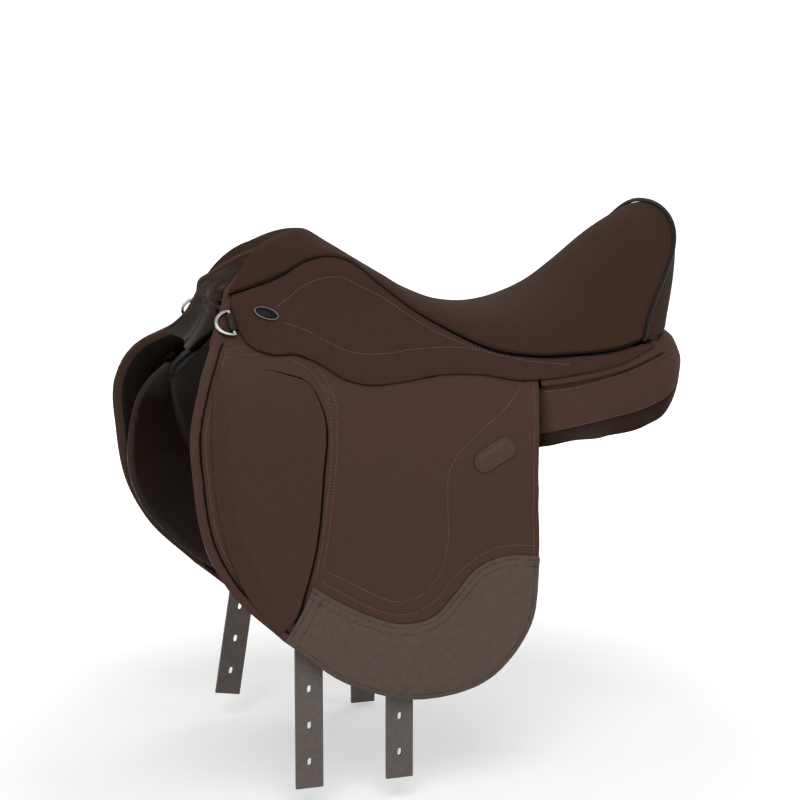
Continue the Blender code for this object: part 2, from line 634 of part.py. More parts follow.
def tube(path, radius, name, stuff, sides=6, pivot=None):
    """A closed loop of round tube through the points of a path."""
    mesh = bmesh.new()
    count = len(path)
    rings = []
    up = None
    for k in range(count):
        along = (path[(k + 1) % count] - path[k - 1]).normalized()
        if up is None:
            up = along.orthogonal().normalized()
        up = (up - along * up.dot(along)).normalized()
        over = along.cross(up)
        rings.append([mesh.verts.new(path[k] + radius * (cos(2 * pi * n / sides) * up + sin(2 * pi * n / sides) * over))
                      for n in range(sides)])
    first, last = rings[0], rings[-1]
    shift = min(range(sides), key=lambda n: sum((first[(m + n) % sides].co - last[m].co).length for m in range(sides)))
    rings.append([first[(m + shift) % sides] for m in range(sides)])
    for a, b in zip(rings, rings[1:]):
        for n in range(sides):
            m = (n + 1) % sides
            mesh.faces.new((a[n], a[m], b[m], b[n]))
    return finish(mesh, name, stuff, 60.0, pivot)


def build_piping():
    """One bead round the whole seat: front edge, both seams and the rim."""
    def bead(u, v):
        return seat_point(u, v) + seat_normal(u, v) * PIPING_PROUD
    along = 24
    across = 12
    path = [bead(k / along, -1) for k in range(along)]
    path += [bead(1, 2 * k / across - 1) for k in range(across)]
    path += [bead(1 - k / along, 1) for k in range(along)]
    path += [bead(0, 1 - 2 * k / across) for k in range(across)]
    tube(path, PIPING_RADIUS, "seat_piping", DARK_LEATHER)


def local_frame(x, z, turn, side, depth=0.0):
    """A flat frame on the side form: origin, along (turned up from +X), up and outward."""
    origin = lay(x, z, depth, side)
    out = (lay(x, z, depth + 10, side) - origin).normalized()
    ahead = lay(x + 10 * cos(radians(turn)), z + 10 * sin(radians(turn)), depth, side) - origin
    along = (ahead - out * ahead.dot(out)).normalized()
    up = along.cross(out) * side
    return origin, along, up, out


def prism(frame, points, start, end, name, stuff, plane="in_face", smooth=35.0, pivot=None):
    """Extrude an outline given in a local frame: in the face, or in the frame's along and out."""
    origin, along, up, out = frame
    first, second, third = (along, up, out) if plane == "in_face" else (along, out, up)
    rings = [[origin + first * a + second * b + third * c for a, b in points] for c in (start, end)]
    return loft(rings, name, stuff, smooth, pivot)


def circle(radius, centre=(0.0, 0.0), count=16, squash=1.0):
    return [(centre[0] + radius * cos(2 * pi * k / count), centre[1] + squash * radius * sin(2 * pi * k / count))
            for k in range(count)]


def slot_outline(length, width, centre=(0.0, 0.0), steps=4):
    """A round-ended slot, longer along the first direction."""
    reach = (length - width) / 2
    points = []
    for end, turn in ((1, -pi / 2), (-1, pi / 2)):
        points += [(centre[0] + end * reach + width / 2 * cos(turn + pi * k / steps),
                    centre[1] + width / 2 * sin(turn + pi * k / steps)) for k in range(steps + 1)]
    return points


def cut(target, cutter):
    """Cut one object out of another, and hide the cutter."""
    cutter.hide_render = True
    cutter.display_type = "WIRE"
    made = target.modifiers.new(cutter.name, "BOOLEAN")
    made.operation = "DIFFERENCE"
    made.solver = "EXACT"
    made.object = cutter


def build_bar(name, side, flap_top):
    """The stirrup bar on the tree's rail, its catch, and the window for both in the flap's top."""
    frame = local_frame(*BAR_PLACE, BAR_TURN, side)
    half = BAR_LENGTH / 2
    face = -BAR_SINK
    back = face - BAR_THICK
    flange = RAIL_TOP + FLANGE_LIFT
    lap = face - CATCH_THICK - FIT
    lap_start = half - CATCH_PIN_SETBACK - CATCH_ROUND - 1.0
    plan = ((-half, face), (lap_start, face), (lap_start, lap), (half, lap), (half, back), (-half + BAR_THICK, back),
            (-half + BAR_THICK, flange), (-half + BAR_THICK - FOOT_LENGTH, flange),
            (-half + BAR_THICK - FOOT_LENGTH, flange + FLANGE), (-half, flange + FLANGE))
    bar = prism(frame, plan, -BAR_HEIGHT / 2, BAR_HEIGHT / 2, f"{name}_stirrup_bar", STEEL, "in_plan")
    pin_at = (half - CATCH_PIN_SETBACK, 0.0)
    hole = circle(CATCH_PIN_RADIUS + FIT, pin_at)
    cutter = prism(frame, hole, back - BAR_THICK, face + BAR_THICK, f"{name}_bar_hole_cutter", STEEL)
    cut(bar, cutter)
    reach = CATCH_LENGTH + CATCH_ROUND
    lever = slot_outline(reach + CATCH_ROUND, 2 * CATCH_ROUND, (pin_at[0] + reach / 2, 0.0), 6)
    origin, along, up, out = frame
    pivot = origin + along * pin_at[0]
    catch = prism(frame, lever, lap + FIT, face, f"{name}_bar_catch", STEEL, pivot=pivot)
    cut(catch, cutter)
    prism(frame, circle(CATCH_PIN_RADIUS, pin_at, 12), back, face, f"{name}_catch_pin", CHROME)
    rivet = circle(RIVET_RADIUS, (-half + (BAR_THICK - FOOT_LENGTH) / 2 - RIVET_SETBACK, 0.0), 12)
    seat = flange + FLANGE + FIT
    prism(frame, rivet, seat, seat + RIVET_HEAD, f"{name}_bar_rivet", STEEL)
    window = prism(frame, slot_outline(BAR_LENGTH + 2 * WINDOW_END, WINDOW_HEIGHT, (CATCH_LENGTH / 2, WINDOW_RISE)),
                   -2 * FLAP, FLAP, f"{name}_window_cutter", FABRIC)
    cut(flap_top, window)


def build_dee(name, side):
    """A dee ring hanging in a leather keeper at the skirt's front edge."""
    frame = local_frame(*DEE_PLACE, 90 - DEE_TILT, side, DEE_LIFT + DEE_ROOM + DEE_WIRE / 2)
    origin, along, up, out = frame
    forward = up if (up.x < 0) else -up
    half = DEE_WIDTH / 2
    path = [origin + along * (half * (2 * k / 4 - 1)) for k in range(5)]
    path += [origin + along * half * cos(pi * k / 14) + forward * DEE_DEPTH * sin(pi * k / 14) for k in range(1, 14)]
    tube(path, DEE_WIRE / 2, f"{name}_dee_ring", CHROME, 6, origin)
    outer = DEE_WIRE / 2 + DEE_ROOM
    rings = []
    for radius, reach in ((outer, 0.0), (outer, 1.0), (outer - TAB_THICK, 1.0), (outer - TAB_THICK, 0.0)):
        place = origin + along * (TAB_WIDTH * (reach - 0.5))
        rings.append([place + radius * (cos(2 * pi * k / 12) * forward + sin(2 * pi * k / 12) * out) for k in range(12)])
    mesh = bmesh.new()
    made = [[mesh.verts.new(p) for p in ring] for ring in rings]
    for a, b in zip(made, made[1:] + made[:1]):
        for k in range(12):
            m = (k + 1) % 12
            mesh.faces.new((a[k], a[m], b[m], b[k]))
    finish(mesh, f"{name}_dee_tab", DARK_LEATHER, 50.0)


def build_strap(name, side, which, x, lean, extra):
    """A girth strap with its row of slots, hung from its pivot at a lean."""
    pivot = Vector((x, 0, STRAP_PIVOT_Z))
    half = STRAP_WIDTH / 2
    down = Vector((-sin(radians(lean)), 0, -cos(radians(lean))))
    over = Vector((cos(radians(lean)), 0, -sin(radians(lean))))

    def place(a, b):
        spot = pivot + down * a + over * b
        return spot.x, spot.z
    end = STRAP_LENGTH + extra
    corners = [place(-STRAP_HEAD, -half), place(end, -half), place(end, half), place(-STRAP_HEAD, half)]
    top = lay(x, STRAP_PIVOT_Z, STRAP_TOP, side)
    strap = drape(pattern(corners), f"{name}_{which}_strap", side, STRAP_TOP - STRAP, STRAP_TOP, STRAP_LEATHER, top)
    mesh = bmesh.new()
    for k in range(STRAP_HOLES):
        centre = end - STRAP_END - k * STRAP_HOLE_STEP
        around = [place(centre + a, b) for a, b in slot_outline(STRAP_HOLE_LENGTH, STRAP_HOLE_WIDTH)]
        rings = [[mesh.verts.new(lay(a, b, depth, side)) for a, b in around]
                 for depth in (STRAP_TOP - 2 * STRAP, STRAP_TOP + STRAP)]
        count = len(around)
        for n in range(count):
            m = (n + 1) % count
            mesh.faces.new((rings[0][n], rings[0][m], rings[1][m], rings[1][n]))
        mesh.faces.new(rings[0])
        mesh.faces.new(rings[1])
    cut(strap, finish(mesh, f"{name}_{which}_strap_cutter", STRAP_LEATHER))


def build_straps(name, side):
    places = STRAPS[name]
    for which, (x, lean, extra) in zip(("front", "rear"), places):
        build_strap(name, side, which, x, lean, extra)
    low = STRAP_PIVOT_Z + STRAP_HEAD + WEB_GAP
    first = min(place[0] for place in places) - STRAP_WIDTH / 2 - WEB_SPARE
    last = max(place[0] for place in places) + STRAP_WIDTH / 2 + WEB_SPARE
    web = pattern([(first, low), (last, low), (last, low + WEB_HEIGHT), (first, low + WEB_HEIGHT)])
    drape(web, f"{name}_girth_web", side, STRAP_TOP - STRAP, STRAP_TOP, WEBBING)


def build_trim(name, side, flap_pivot):
    """The saddle nail on the skirt, the bare badge on the flap and the pocket over the tree's point."""
    frame = local_frame(*NAIL_PLACE, -NAIL_TURN, side, FIT + SKIRT + FIT)
    rings = []
    origin, along, up, out = frame
    for share, height in ((1.0, 0.0), (1.0, 0.45), (0.86, 0.85), (0.5, 1.0)):
        rings.append([origin + along * a + up * b + out * (NAIL_HEIGHT * height)
                      for a, b in circle(NAIL_LENGTH / 2 * share, squash=NAIL_WIDTH / NAIL_LENGTH, count=20)])
    loft(rings, f"{name}_saddle_nail", CHROME)
    x, z = BADGE_PLACE
    turn = radians(BADGE_TURN)
    pill = [(x + a * cos(turn) - b * sin(turn), z + a * sin(turn) + b * cos(turn))
            for a, b in slot_outline(BADGE_LENGTH, BADGE_WIDTH)]
    drape(pattern(pill), f"{name}_flap_badge", side, FIT, FIT + BADGE_THICK, PATCH_LEATHER, flap_pivot)
    pocket = pattern(outline(*POCKET_OUTLINE))
    drape(pocket, f"{name}_point_pocket", side, SWEAT_TOP + FIT, SWEAT_TOP + FIT + POCKET, DARK_LEATHER)


def arch_place(x, t, depth):
    """The gullet arch at x: t runs from the left foot, -1, over the top to the right foot, 1."""
    shoulder = lay(x, PLATE_SHOULDER_Z, depth)
    if abs(t) > 0.4:
        share = (abs(t) - 0.4) / 0.6
        place = lay(x, PLATE_SHOULDER_Z + (PLATE_FOOT_Z - PLATE_SHOULDER_Z) * share, depth)
        return Vector((place.x, place.y * (1 if t > 0 else -1), place.z))
    turn = t / 0.4 * pi / 2
    rise = PLATE_CROWN + (depth - PLATE_TOP)
    return Vector((shoulder.x, shoulder.y * sin(turn), shoulder.z + rise * cos(turn)))


def build_gullet():
    """A steel arch under the front of the tree."""
    rows = [PLATE_X + PLATE_WIDTH * (k / 3 - 0.5) for k in range(4)]
    columns = [k / 10 - 1 for k in range(21)]
    outer = [[arch_place(x, t, PLATE_TOP) for t in columns] for x in rows]
    inner = [[arch_place(x, t, PLATE_TOP - PLATE_THICK) for t in columns] for x in rows]
    shell(outer, inner, "gullet_plate", STEEL, 50.0)


build_seat()
build_facings()
build_piping()
build_gullet()
for side_name, side_sign in SIDES.items():
    build_side(side_name, side_sign)
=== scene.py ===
# %% [markdown]
# # A dressage saddle
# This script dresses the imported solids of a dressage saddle. The solids are loaded as a fixed
# frame, and each leather or fabric piece is then modelled over its solid, at the same place.
# Numbers are millimetres until a mesh is finished. Forward is -X, the rider's left is -Y.

# %% Load the frame
from math import ceil, cos, floor, pi, radians, sin

import bmesh
import bpy
import numpy as np
from mathutils import Matrix, Vector
from mathutils.kdtree import KDTree


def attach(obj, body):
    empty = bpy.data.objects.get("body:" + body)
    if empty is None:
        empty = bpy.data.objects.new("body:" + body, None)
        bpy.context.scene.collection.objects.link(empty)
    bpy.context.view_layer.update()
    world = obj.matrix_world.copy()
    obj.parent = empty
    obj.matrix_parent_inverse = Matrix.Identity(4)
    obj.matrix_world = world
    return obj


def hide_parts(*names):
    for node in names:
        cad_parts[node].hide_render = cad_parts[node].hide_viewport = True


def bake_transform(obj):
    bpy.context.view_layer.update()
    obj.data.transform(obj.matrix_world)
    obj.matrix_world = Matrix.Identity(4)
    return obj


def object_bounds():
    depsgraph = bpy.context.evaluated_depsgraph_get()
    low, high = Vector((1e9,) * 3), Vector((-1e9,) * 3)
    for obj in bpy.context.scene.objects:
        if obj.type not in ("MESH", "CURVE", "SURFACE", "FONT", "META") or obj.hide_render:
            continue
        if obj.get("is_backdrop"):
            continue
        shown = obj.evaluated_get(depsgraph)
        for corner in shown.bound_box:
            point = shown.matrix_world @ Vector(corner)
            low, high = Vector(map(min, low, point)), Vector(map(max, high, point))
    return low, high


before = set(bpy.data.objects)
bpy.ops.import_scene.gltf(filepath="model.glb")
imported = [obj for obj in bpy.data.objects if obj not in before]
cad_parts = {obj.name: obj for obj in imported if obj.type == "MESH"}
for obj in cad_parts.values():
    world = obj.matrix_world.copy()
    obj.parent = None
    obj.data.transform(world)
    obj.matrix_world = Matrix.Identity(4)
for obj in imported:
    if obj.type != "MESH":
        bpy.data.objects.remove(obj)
cad_low, cad_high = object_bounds()
MM = 0.001
SIDES = {"left": -1, "right": 1}

# %% [markdown]
# ## The camera
# The photograph looks at the rider's left side, a little from the front and from above. Its
# picture is 816 mm wide at the saddle, seen from 2.2 m, so a long lens keeps the sides parallel.

# %% Camera
CAMERA_AZIMUTH = -19.5
CAMERA_ELEVATION = 10.5
CAMERA_DISTANCE = 2.2
PICTURE_WIDTH = 0.816           # metres across the picture at the saddle
CAMERA_SHIFT_X = 0.00625
CAMERA_SHIFT_Y = 0.0625
SENSOR = 36.0

camera = bpy.data.objects.new("camera", bpy.data.cameras.new("camera"))
bpy.context.scene.collection.objects.link(camera)
turn = radians(CAMERA_AZIMUTH)
rise = radians(CAMERA_ELEVATION)
away = Vector((sin(turn) * cos(rise), -cos(turn) * cos(rise), sin(rise)))
camera.location = away * CAMERA_DISTANCE
camera.rotation_mode = "QUATERNION"
camera.rotation_quaternion = (-away).to_track_quat("-Z", "Y")
camera.data.sensor_width = SENSOR
camera.data.lens = SENSOR * CAMERA_DISTANCE / PICTURE_WIDTH
camera.data.shift_x = CAMERA_SHIFT_X
camera.data.shift_y = CAMERA_SHIFT_Y
bpy.context.scene.camera = camera
print("camera lens", round(camera.data.lens, 1), "mm")

# %% [markdown]
# ## Light and floor
# Soft studio light at a plain level: a big lamp high on the viewer's side, weaker ones from the
# front and behind for the gloss on dark leather, and a pale sky. Only for what the camera and
# reflections see are sky and floor lifted to white, so the floor still shows the soft shadow.

# %% Light and floor
SKY_STRENGTH = 0.39
FLOOR_SIZE = 12.0
FLOOR_SHADE = 0.93
FLOOR_DROP = 0.002              # metres under the lowest strap
FLOOR_GLOW = (0.32, 1.0)        # added to the floor for the camera, under the saddle and far away
GLOW_REACH = (0.35, 1.3)        # metres from the saddle between which it grows
LAMPS = (("key", (-0.7, -2.0, 2.2), 1.8, 33.0), ("front", (-2.4, 0.0, 1.0), 1.3, 7.5),
         ("rear", (1.8, 1.6, 1.4), 1.4, 9.0), ("right", (2.0, -1.4, 1.0), 1.2, 7.5))


def add_lamp(name, place, size, power):
    """A square soft lamp that looks at the saddle."""
    data = bpy.data.lights.new(name, "AREA")
    data.size = size
    data.energy = power
    lamp = bpy.data.objects.new(name, data)
    lamp.location = place
    lamp.rotation_mode = "QUATERNION"
    lamp.rotation_quaternion = (-Vector(place)).to_track_quat("-Z", "Y")
    bpy.context.scene.collection.objects.link(lamp)


def add_node(tree, kind, inputs=None, **settings):
    """Add a shader node, set it up, and fill or link its inputs."""
    made = tree.nodes.new(kind)
    for key, value in settings.items():
        setattr(made, key, value)
    for key, value in (inputs or {}).items():
        if isinstance(value, bpy.types.NodeSocket):
            tree.links.new(value, made.inputs[key])
        else:
            made.inputs[key].default_value = value
    return made


def calc(tree, operation, *values):
    """The output of a Math node that works on some values."""
    return add_node(tree, "ShaderNodeMath", dict(enumerate(values)), operation=operation).outputs[0]


for lamp in LAMPS:
    add_lamp(*lamp)

world = bpy.data.worlds.new("studio")
bpy.context.scene.world = world
world.use_nodes = True
sky = world.node_tree
sky.nodes.clear()


def seen_ray(tree):
    """1 for what the camera, a reflection or a clear surface sees, else 0."""
    path = add_node(tree, "ShaderNodeLightPath").outputs
    first = calc(tree, "MAXIMUM", path["Is Camera Ray"], path["Is Glossy Ray"])
    return calc(tree, "MAXIMUM", first, path["Is Transmission Ray"])


dim = add_node(sky, "ShaderNodeBackground", {"Color": (1, 1, 1, 1), "Strength": SKY_STRENGTH})
bright = add_node(sky, "ShaderNodeBackground", {"Color": (1, 1, 1, 1), "Strength": 1.0})
either = add_node(sky, "ShaderNodeMixShader", {0: seen_ray(sky), 1: dim.outputs[0], 2: bright.outputs[0]})
add_node(sky, "ShaderNodeOutputWorld", {"Surface": either.outputs[0]})

floor_mesh = bmesh.new()
bmesh.ops.create_grid(floor_mesh, x_segments=2, y_segments=2, size=FLOOR_SIZE)
floor_data = bpy.data.meshes.new("floor")
floor_mesh.to_mesh(floor_data)
floor_mesh.free()
ground = bpy.data.objects.new("floor", floor_data)
ground.location.z = cad_low.z - FLOOR_DROP
bpy.context.scene.collection.objects.link(ground)
ground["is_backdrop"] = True
pale = bpy.data.materials.new("pale_floor")
pale.use_nodes = True
tree = pale.node_tree
paint = tree.nodes["Principled BSDF"].inputs
paint["Base Color"].default_value = (FLOOR_SHADE, FLOOR_SHADE, FLOOR_SHADE, 1)
paint["Roughness"].default_value = 0.9
paint["Specular IOR Level"].default_value = 0.1
paint["Emission Color"].default_value = (1, 1, 1, 1)
spot = add_node(tree, "ShaderNodeTexCoord").outputs["Object"]
reach = add_node(tree, "ShaderNodeVectorMath", {0: spot}, operation="LENGTH").outputs["Value"]
lift = add_node(tree, "ShaderNodeMapRange",
                {"Value": reach, "From Min": GLOW_REACH[0], "From Max": GLOW_REACH[1],
                 "To Min": FLOOR_GLOW[0], "To Max": FLOOR_GLOW[1]})
tree.links.new(calc(tree, "MULTIPLY", seen_ray(tree), lift.outputs[0]), paint["Emission Strength"])
floor_data.materials.append(pale)
bpy.context.scene.view_settings.view_transform = "Standard"

# %% [markdown]
# ## Smooth curves
# Everything on a saddle is a long easy curve. One function draws a smooth curve through a few
# chosen values; outlines, the side's sections and the seat's lines all come from it.

# %% Curves
POINT_STEP = 0.5                # millimetres between the points that stand for a line


def smooth_curve(knots, values, at, steady=False):
    """Values at places along knots, on a smooth curve through every value.

    A steady curve never swings past a value: it runs level where the values do.
    """
    knots = np.asarray(knots, float)
    values = np.asarray(values, float)
    if values.ndim == 1:
        return smooth_curve(knots, values[:, None], at, steady)[..., 0]
    at = np.clip(np.asarray(at, float), knots[0], knots[-1])
    width = np.diff(knots)
    slope = np.diff(values, axis=0) / width[:, None]
    tangent = np.empty_like(values)
    tangent[0] = slope[0]
    tangent[-1] = slope[-1]
    both = (width[:-1] + width[1:])[:, None]
    tangent[1:-1] = (slope[:-1] * width[1:, None] + slope[1:] * width[:-1, None]) / both
    if steady:
        turning = np.abs(slope[:-1] * slope[1:]) < 1e-9
        tangent[1:-1][turning] = 0.0
    i = np.clip(np.searchsorted(knots, at, side="right") - 1, 0, len(knots) - 2)
    t = ((at - knots[i]) / width[i])[..., None]
    h = width[i][..., None]
    return ((2 * t**3 - 3 * t**2 + 1) * values[i] + (t**3 - 2 * t**2 + t) * h * tangent[i]
            + (3 * t**2 - 2 * t**3) * values[i + 1] + (t**3 - t**2) * h * tangent[i + 1])


def read_table(table, x):
    """Smooth values at x from a table whose rows each start with their own x."""
    table = np.asarray(table, float)
    return smooth_curve(table[:, 0], table[:, 1:], x)


def unit(vectors):
    """Vectors made one long."""
    return vectors / np.linalg.norm(vectors, axis=-1, keepdims=True)


def run_along(points):
    """How far each point of a line, or each row of a net, lies from the first one."""
    steps = np.linalg.norm(np.diff(points, axis=0), axis=-1)
    return np.concatenate([np.zeros((1, *steps.shape[1:])), np.cumsum(steps, axis=0)])


def stretch(points, spacing=3.0):
    """Points every few millimetres on a smooth curve through the given ones."""
    points = np.asarray(points, float)
    along = run_along(points)
    count = max(1, round(along[-1] / spacing))
    return smooth_curve(along, points, np.linspace(0, along[-1], count + 1))


def outline(*stretches):
    """A closed outline of smooth stretches that meet in corners."""
    points = np.concatenate([stretch(part) for part in stretches])
    kept = [points[0]]
    for p in points[1:]:
        if np.hypot(*(p - kept[-1])) > 0.5:
            kept.append(p)
    if np.hypot(*(kept[0] - kept[-1])) < 0.5:
        kept.pop()
    return np.array(kept)


def beside(line, gap):
    """A line that runs beside another, gap to the left of the way it runs."""
    line = stretch(line)
    along = unit(np.gradient(line, axis=0))
    return line + gap * np.stack([-along[:, 1], along[:, 0]], 1)


def gap_to(places, *lines, closed=False):
    """The distance from each place of a pattern to the nearest of some lines, by points along them."""
    dense = []
    for line in lines:
        ends = np.roll(line, -1, axis=0) if closed else line[1:]
        for a, b in zip(line, ends):
            count = max(1, ceil(np.hypot(*(b - a)) / POINT_STEP))
            dense.extend(a + (b - a) * k / count for k in range(count))
        dense.append(line[0] if closed else line[-1])
    tree = KDTree(len(dense))
    for k, (x, z) in enumerate(dense):
        tree.insert((x, z, 0), k)
    tree.balance()
    return np.array([tree.find((x, z, 0))[2] for x, z in places])


# %% [markdown]
# ## The side form
# Under every leather layer of a side lies one curved form. It is given by sections from the
# seat's seam down, and a pattern point (x, z) of the side view is laid on it at a depth: 0 is
# the outer face of the flap. Layers at their own depths can't meet.

# %% Side form
BEND_FRONT = Vector((-215.0, 88.0, 125.0))
BEND_REAR = Vector((89.0, 163.0, 40.0))
SIDE_SECTIONS = {
    -260: ((46, 176), (50, 166), (55, 156), (62, 147), None,
           (125, 113), (152, 91), (165, 62), (168, 20), (168, -250)),
    -190: ((49, 176), (53, 163), (58, 150), (67, 138), None,
           (130, 101), (153, 82), (166, 52), (168, 12), (168, -250)),
    -130: ((45, 189), (52, 172), (62, 153), (80, 131), None,
           (135, 83), (154, 63), (165, 38), (168, -2), (168, -250)),
    -85: ((42, 206), (50, 184), (61, 160), (83, 128), None,
          (141, 70), (157, 50), (166, 27), (168, -9), (168, -250)),
    -50: ((40, 192), (49, 172), (62, 151), (88, 121), None,
          (147, 60), (159, 41), (166, 19), (168, -16), (168, -250)),
    30: ((79, 134), (92, 123), (107, 112), (126, 95), None,
         (157, 38), (163, 20), (167, -2), (168, -26), (168, -250)),
    110: ((119, 109), (126, 103), (135, 95), (149, 78), None,
          (168, 20), (168, 5), (168, -12), (168, -30), (168, -250)),
    170: ((121, 116), (130, 108), (137, 98), (141, 88), (144, 76),
          (145, 62), (144, 48), (141, 34), (136, 20), (168, -250)),
    235: ((110, 134), (122, 121), (130, 110), (134, 99), (136, 88),
          (136, 76), (134, 64), (131, 52), (127, 40), (168, -250)),
}
FORM_STEP = 4.0                 # the form is worked out once on squares of this size
FORM_X = np.arange(-296.0, 300.0, FORM_STEP)
FORM_Z = np.arange(-264.0, 240.0, FORM_STEP)


def bend_place(x):
    """The half width and height of the flap's straight bend at x."""
    place = BEND_FRONT.lerp(BEND_REAR, (x - BEND_FRONT.x) / (BEND_REAR.x - BEND_FRONT.x))
    return place.y, place.z


def side_form():
    """Half widths and outward normals of the side form on its squares."""
    stations = sorted(SIDE_SECTIONS)
    net = np.array([[bend_place(x) if p is None else p for p in SIDE_SECTIONS[x]] for x in stations], float)
    net = np.concatenate([2 * net[:, :1] - net[:, 1:2], net], axis=1)
    widths = []
    for x in FORM_X:
        section = np.stack([smooth_curve(stations, net[:, k], x, True) for k in range(net.shape[1])])
        along = run_along(section)
        dense = smooth_curve(along, section, np.linspace(0, along[-1], 400), True)[::-1]
        widths.append(np.interp(FORM_Z, np.maximum.accumulate(dense[:, 1]), dense[:, 0]))
    width = np.stack(widths)
    for turn in range(2):
        width[1:-1] = (width[:-2] + 2 * width[1:-1] + width[2:]) / 4
        width[:, 1:-1] = (width[:, :-2] + 2 * width[:, 1:-1] + width[:, 2:]) / 4
    slope_x, slope_z = np.gradient(width, FORM_STEP)
    normals = np.stack([-slope_x, np.ones_like(width), -slope_z], -1)
    return width, unit(normals)


FORM_WIDTH, FORM_NORMAL = side_form()


def form_value(table, x, z):
    """A smooth value of one of the form's tables at pattern places."""
    a = np.clip((x - FORM_X[0]) / FORM_STEP, 1, len(FORM_X) - 3)
    b = np.clip((z - FORM_Z[0]) / FORM_STEP, 1, len(FORM_Z) - 3)
    i = a.astype(int)
    j = b.astype(int)

    def weights(t):
        """Twice the shares of four neighbours in a smooth curve."""
        return (-t + 2 * t**2 - t**3, 2 - 5 * t**2 + 3 * t**3, t + 4 * t**2 - 3 * t**3, -t**2 + t**3)
    total = 0
    for m, first in enumerate(weights(a - i)):
        for n, second in enumerate(weights(b - j)):
            share = first * second / 4
            total = total + (share[:, None] if table.ndim == 3 else share) * table[i + m - 1, j + n - 1]
    return total


def lay(x, z, depth, side=1):
    """Points of the side form at pattern places, depth above the flap's face."""
    x, z, depth = (np.asarray(a, float).reshape(-1) for a in np.broadcast_arrays(x, z, depth))
    normal = unit(form_value(FORM_NORMAL, x, z))
    base = np.stack([x, form_value(FORM_WIDTH, x, z), z], 1)
    return (base + depth[:, None] * normal) * (1, side, 1)


def local_frame(x, z, turn, side, depth=0.0):
    """A flat frame on the side form: origin, along (turned up from +X), up and outward."""
    origin = Vector(lay(x, z, depth, side)[0])
    out = (Vector(lay(x, z, depth + 10, side)[0]) - origin).normalized()
    ahead = Vector(lay(x + 10 * cos(radians(turn)), z + 10 * sin(radians(turn)), depth, side)[0]) - origin
    along = (ahead - out * ahead.dot(out)).normalized()
    return origin, along, along.cross(out) * side, out


print("side form:", FORM_WIDTH.shape, "squares, widest", round(float(FORM_WIDTH.max())), "mm")

# %% [markdown]
# ## Finishes
# The saddle is a synthetic one: a fine woven cloth with a suede touch on seat, flaps and skirts,
# a smooth grained patch at the flap's foot, and glossy dark leather inside the flaps. Weave and
# grain are shader groups, so that each finish sets its own colour and scale.

# %% Shader groups


def start_group(name, takes, gives):
    """A shader group with named inputs and outputs."""
    group = bpy.data.node_groups.new(name, "ShaderNodeTree")
    for label, kind, value in takes:
        socket = group.interface.new_socket(name=label, in_out="INPUT", socket_type=kind)
        socket.default_value = value
    for label, kind in gives:
        group.interface.new_socket(name=label, in_out="OUTPUT", socket_type=kind)
    return group, group.nodes.new("NodeGroupInput").outputs, group.nodes.new("NodeGroupOutput").inputs


def scaled(tree, vector, factor):
    """A colour or vector times a factor."""
    return add_node(tree, "ShaderNodeVectorMath", {0: vector, "Scale": factor}, operation="SCALE").outputs[0]


def tinted(tree, colour, factor, low, high):
    """A colour made darker or lighter by a factor from 0 to 1."""
    level = add_node(tree, "ShaderNodeMapRange", {"Value": factor, "To Min": low, "To Max": high})
    return scaled(tree, colour, level.outputs[0])


def mottled(tree, place, scale, amount):
    """A level near 1 that drifts slowly over the piece, and the drift itself."""
    broad = add_node(tree, "ShaderNodeTexNoise", {"Vector": place, "Scale": scale, "Detail": 3.0})
    drift = calc(tree, "ADD", broad.outputs["Fac"], -0.5)
    return calc(tree, "MULTIPLY_ADD", drift, amount, 1.0), drift


def woven_cloth():
    """Fine plain weave on a piece's pattern, with slubs along both threads and faint mottling."""
    group, take, give = start_group(
        "woven_cloth",
        (("Colour", "NodeSocketColor", (0.05, 0.03, 0.02, 1)), ("Threads", "NodeSocketFloat", 1300.0),
         ("Mottle", "NodeSocketFloat", 0.10)),
        (("Colour", "NodeSocketColor"), ("Height", "NodeSocketFloat")))
    cloth = add_node(group, "ShaderNodeUVMap", uv_map="pattern").outputs[0]
    wide = scaled(group, cloth, calc(group, "MULTIPLY", take["Threads"], 2 * pi))
    apart = add_node(group, "ShaderNodeSeparateXYZ", {0: wide})
    weave = calc(group, "MULTIPLY", *[calc(group, "SINE", apart.outputs[k]) for k in range(2)])
    slubs = []
    for scale in ((90.0, 1500.0, 1.0), (1500.0, 90.0, 1.0)):
        drawn = add_node(group, "ShaderNodeVectorMath", {0: cloth, 1: scale}, operation="MULTIPLY")
        noise = {"Vector": drawn.outputs[0], "Scale": 1.0, "Detail": 2.0}
        slubs.append(add_node(group, "ShaderNodeTexNoise", noise).outputs["Fac"])
    slub = calc(group, "ADD", *slubs)
    level, _ = mottled(group, cloth, 38.0, take["Mottle"])
    fine = tinted(group, take["Colour"], slub, 0.55, 1.45)
    group.links.new(scaled(group, fine, level), give["Colour"])
    group.links.new(calc(group, "MULTIPLY_ADD", weave, 0.25, slub), give["Height"])
    return group


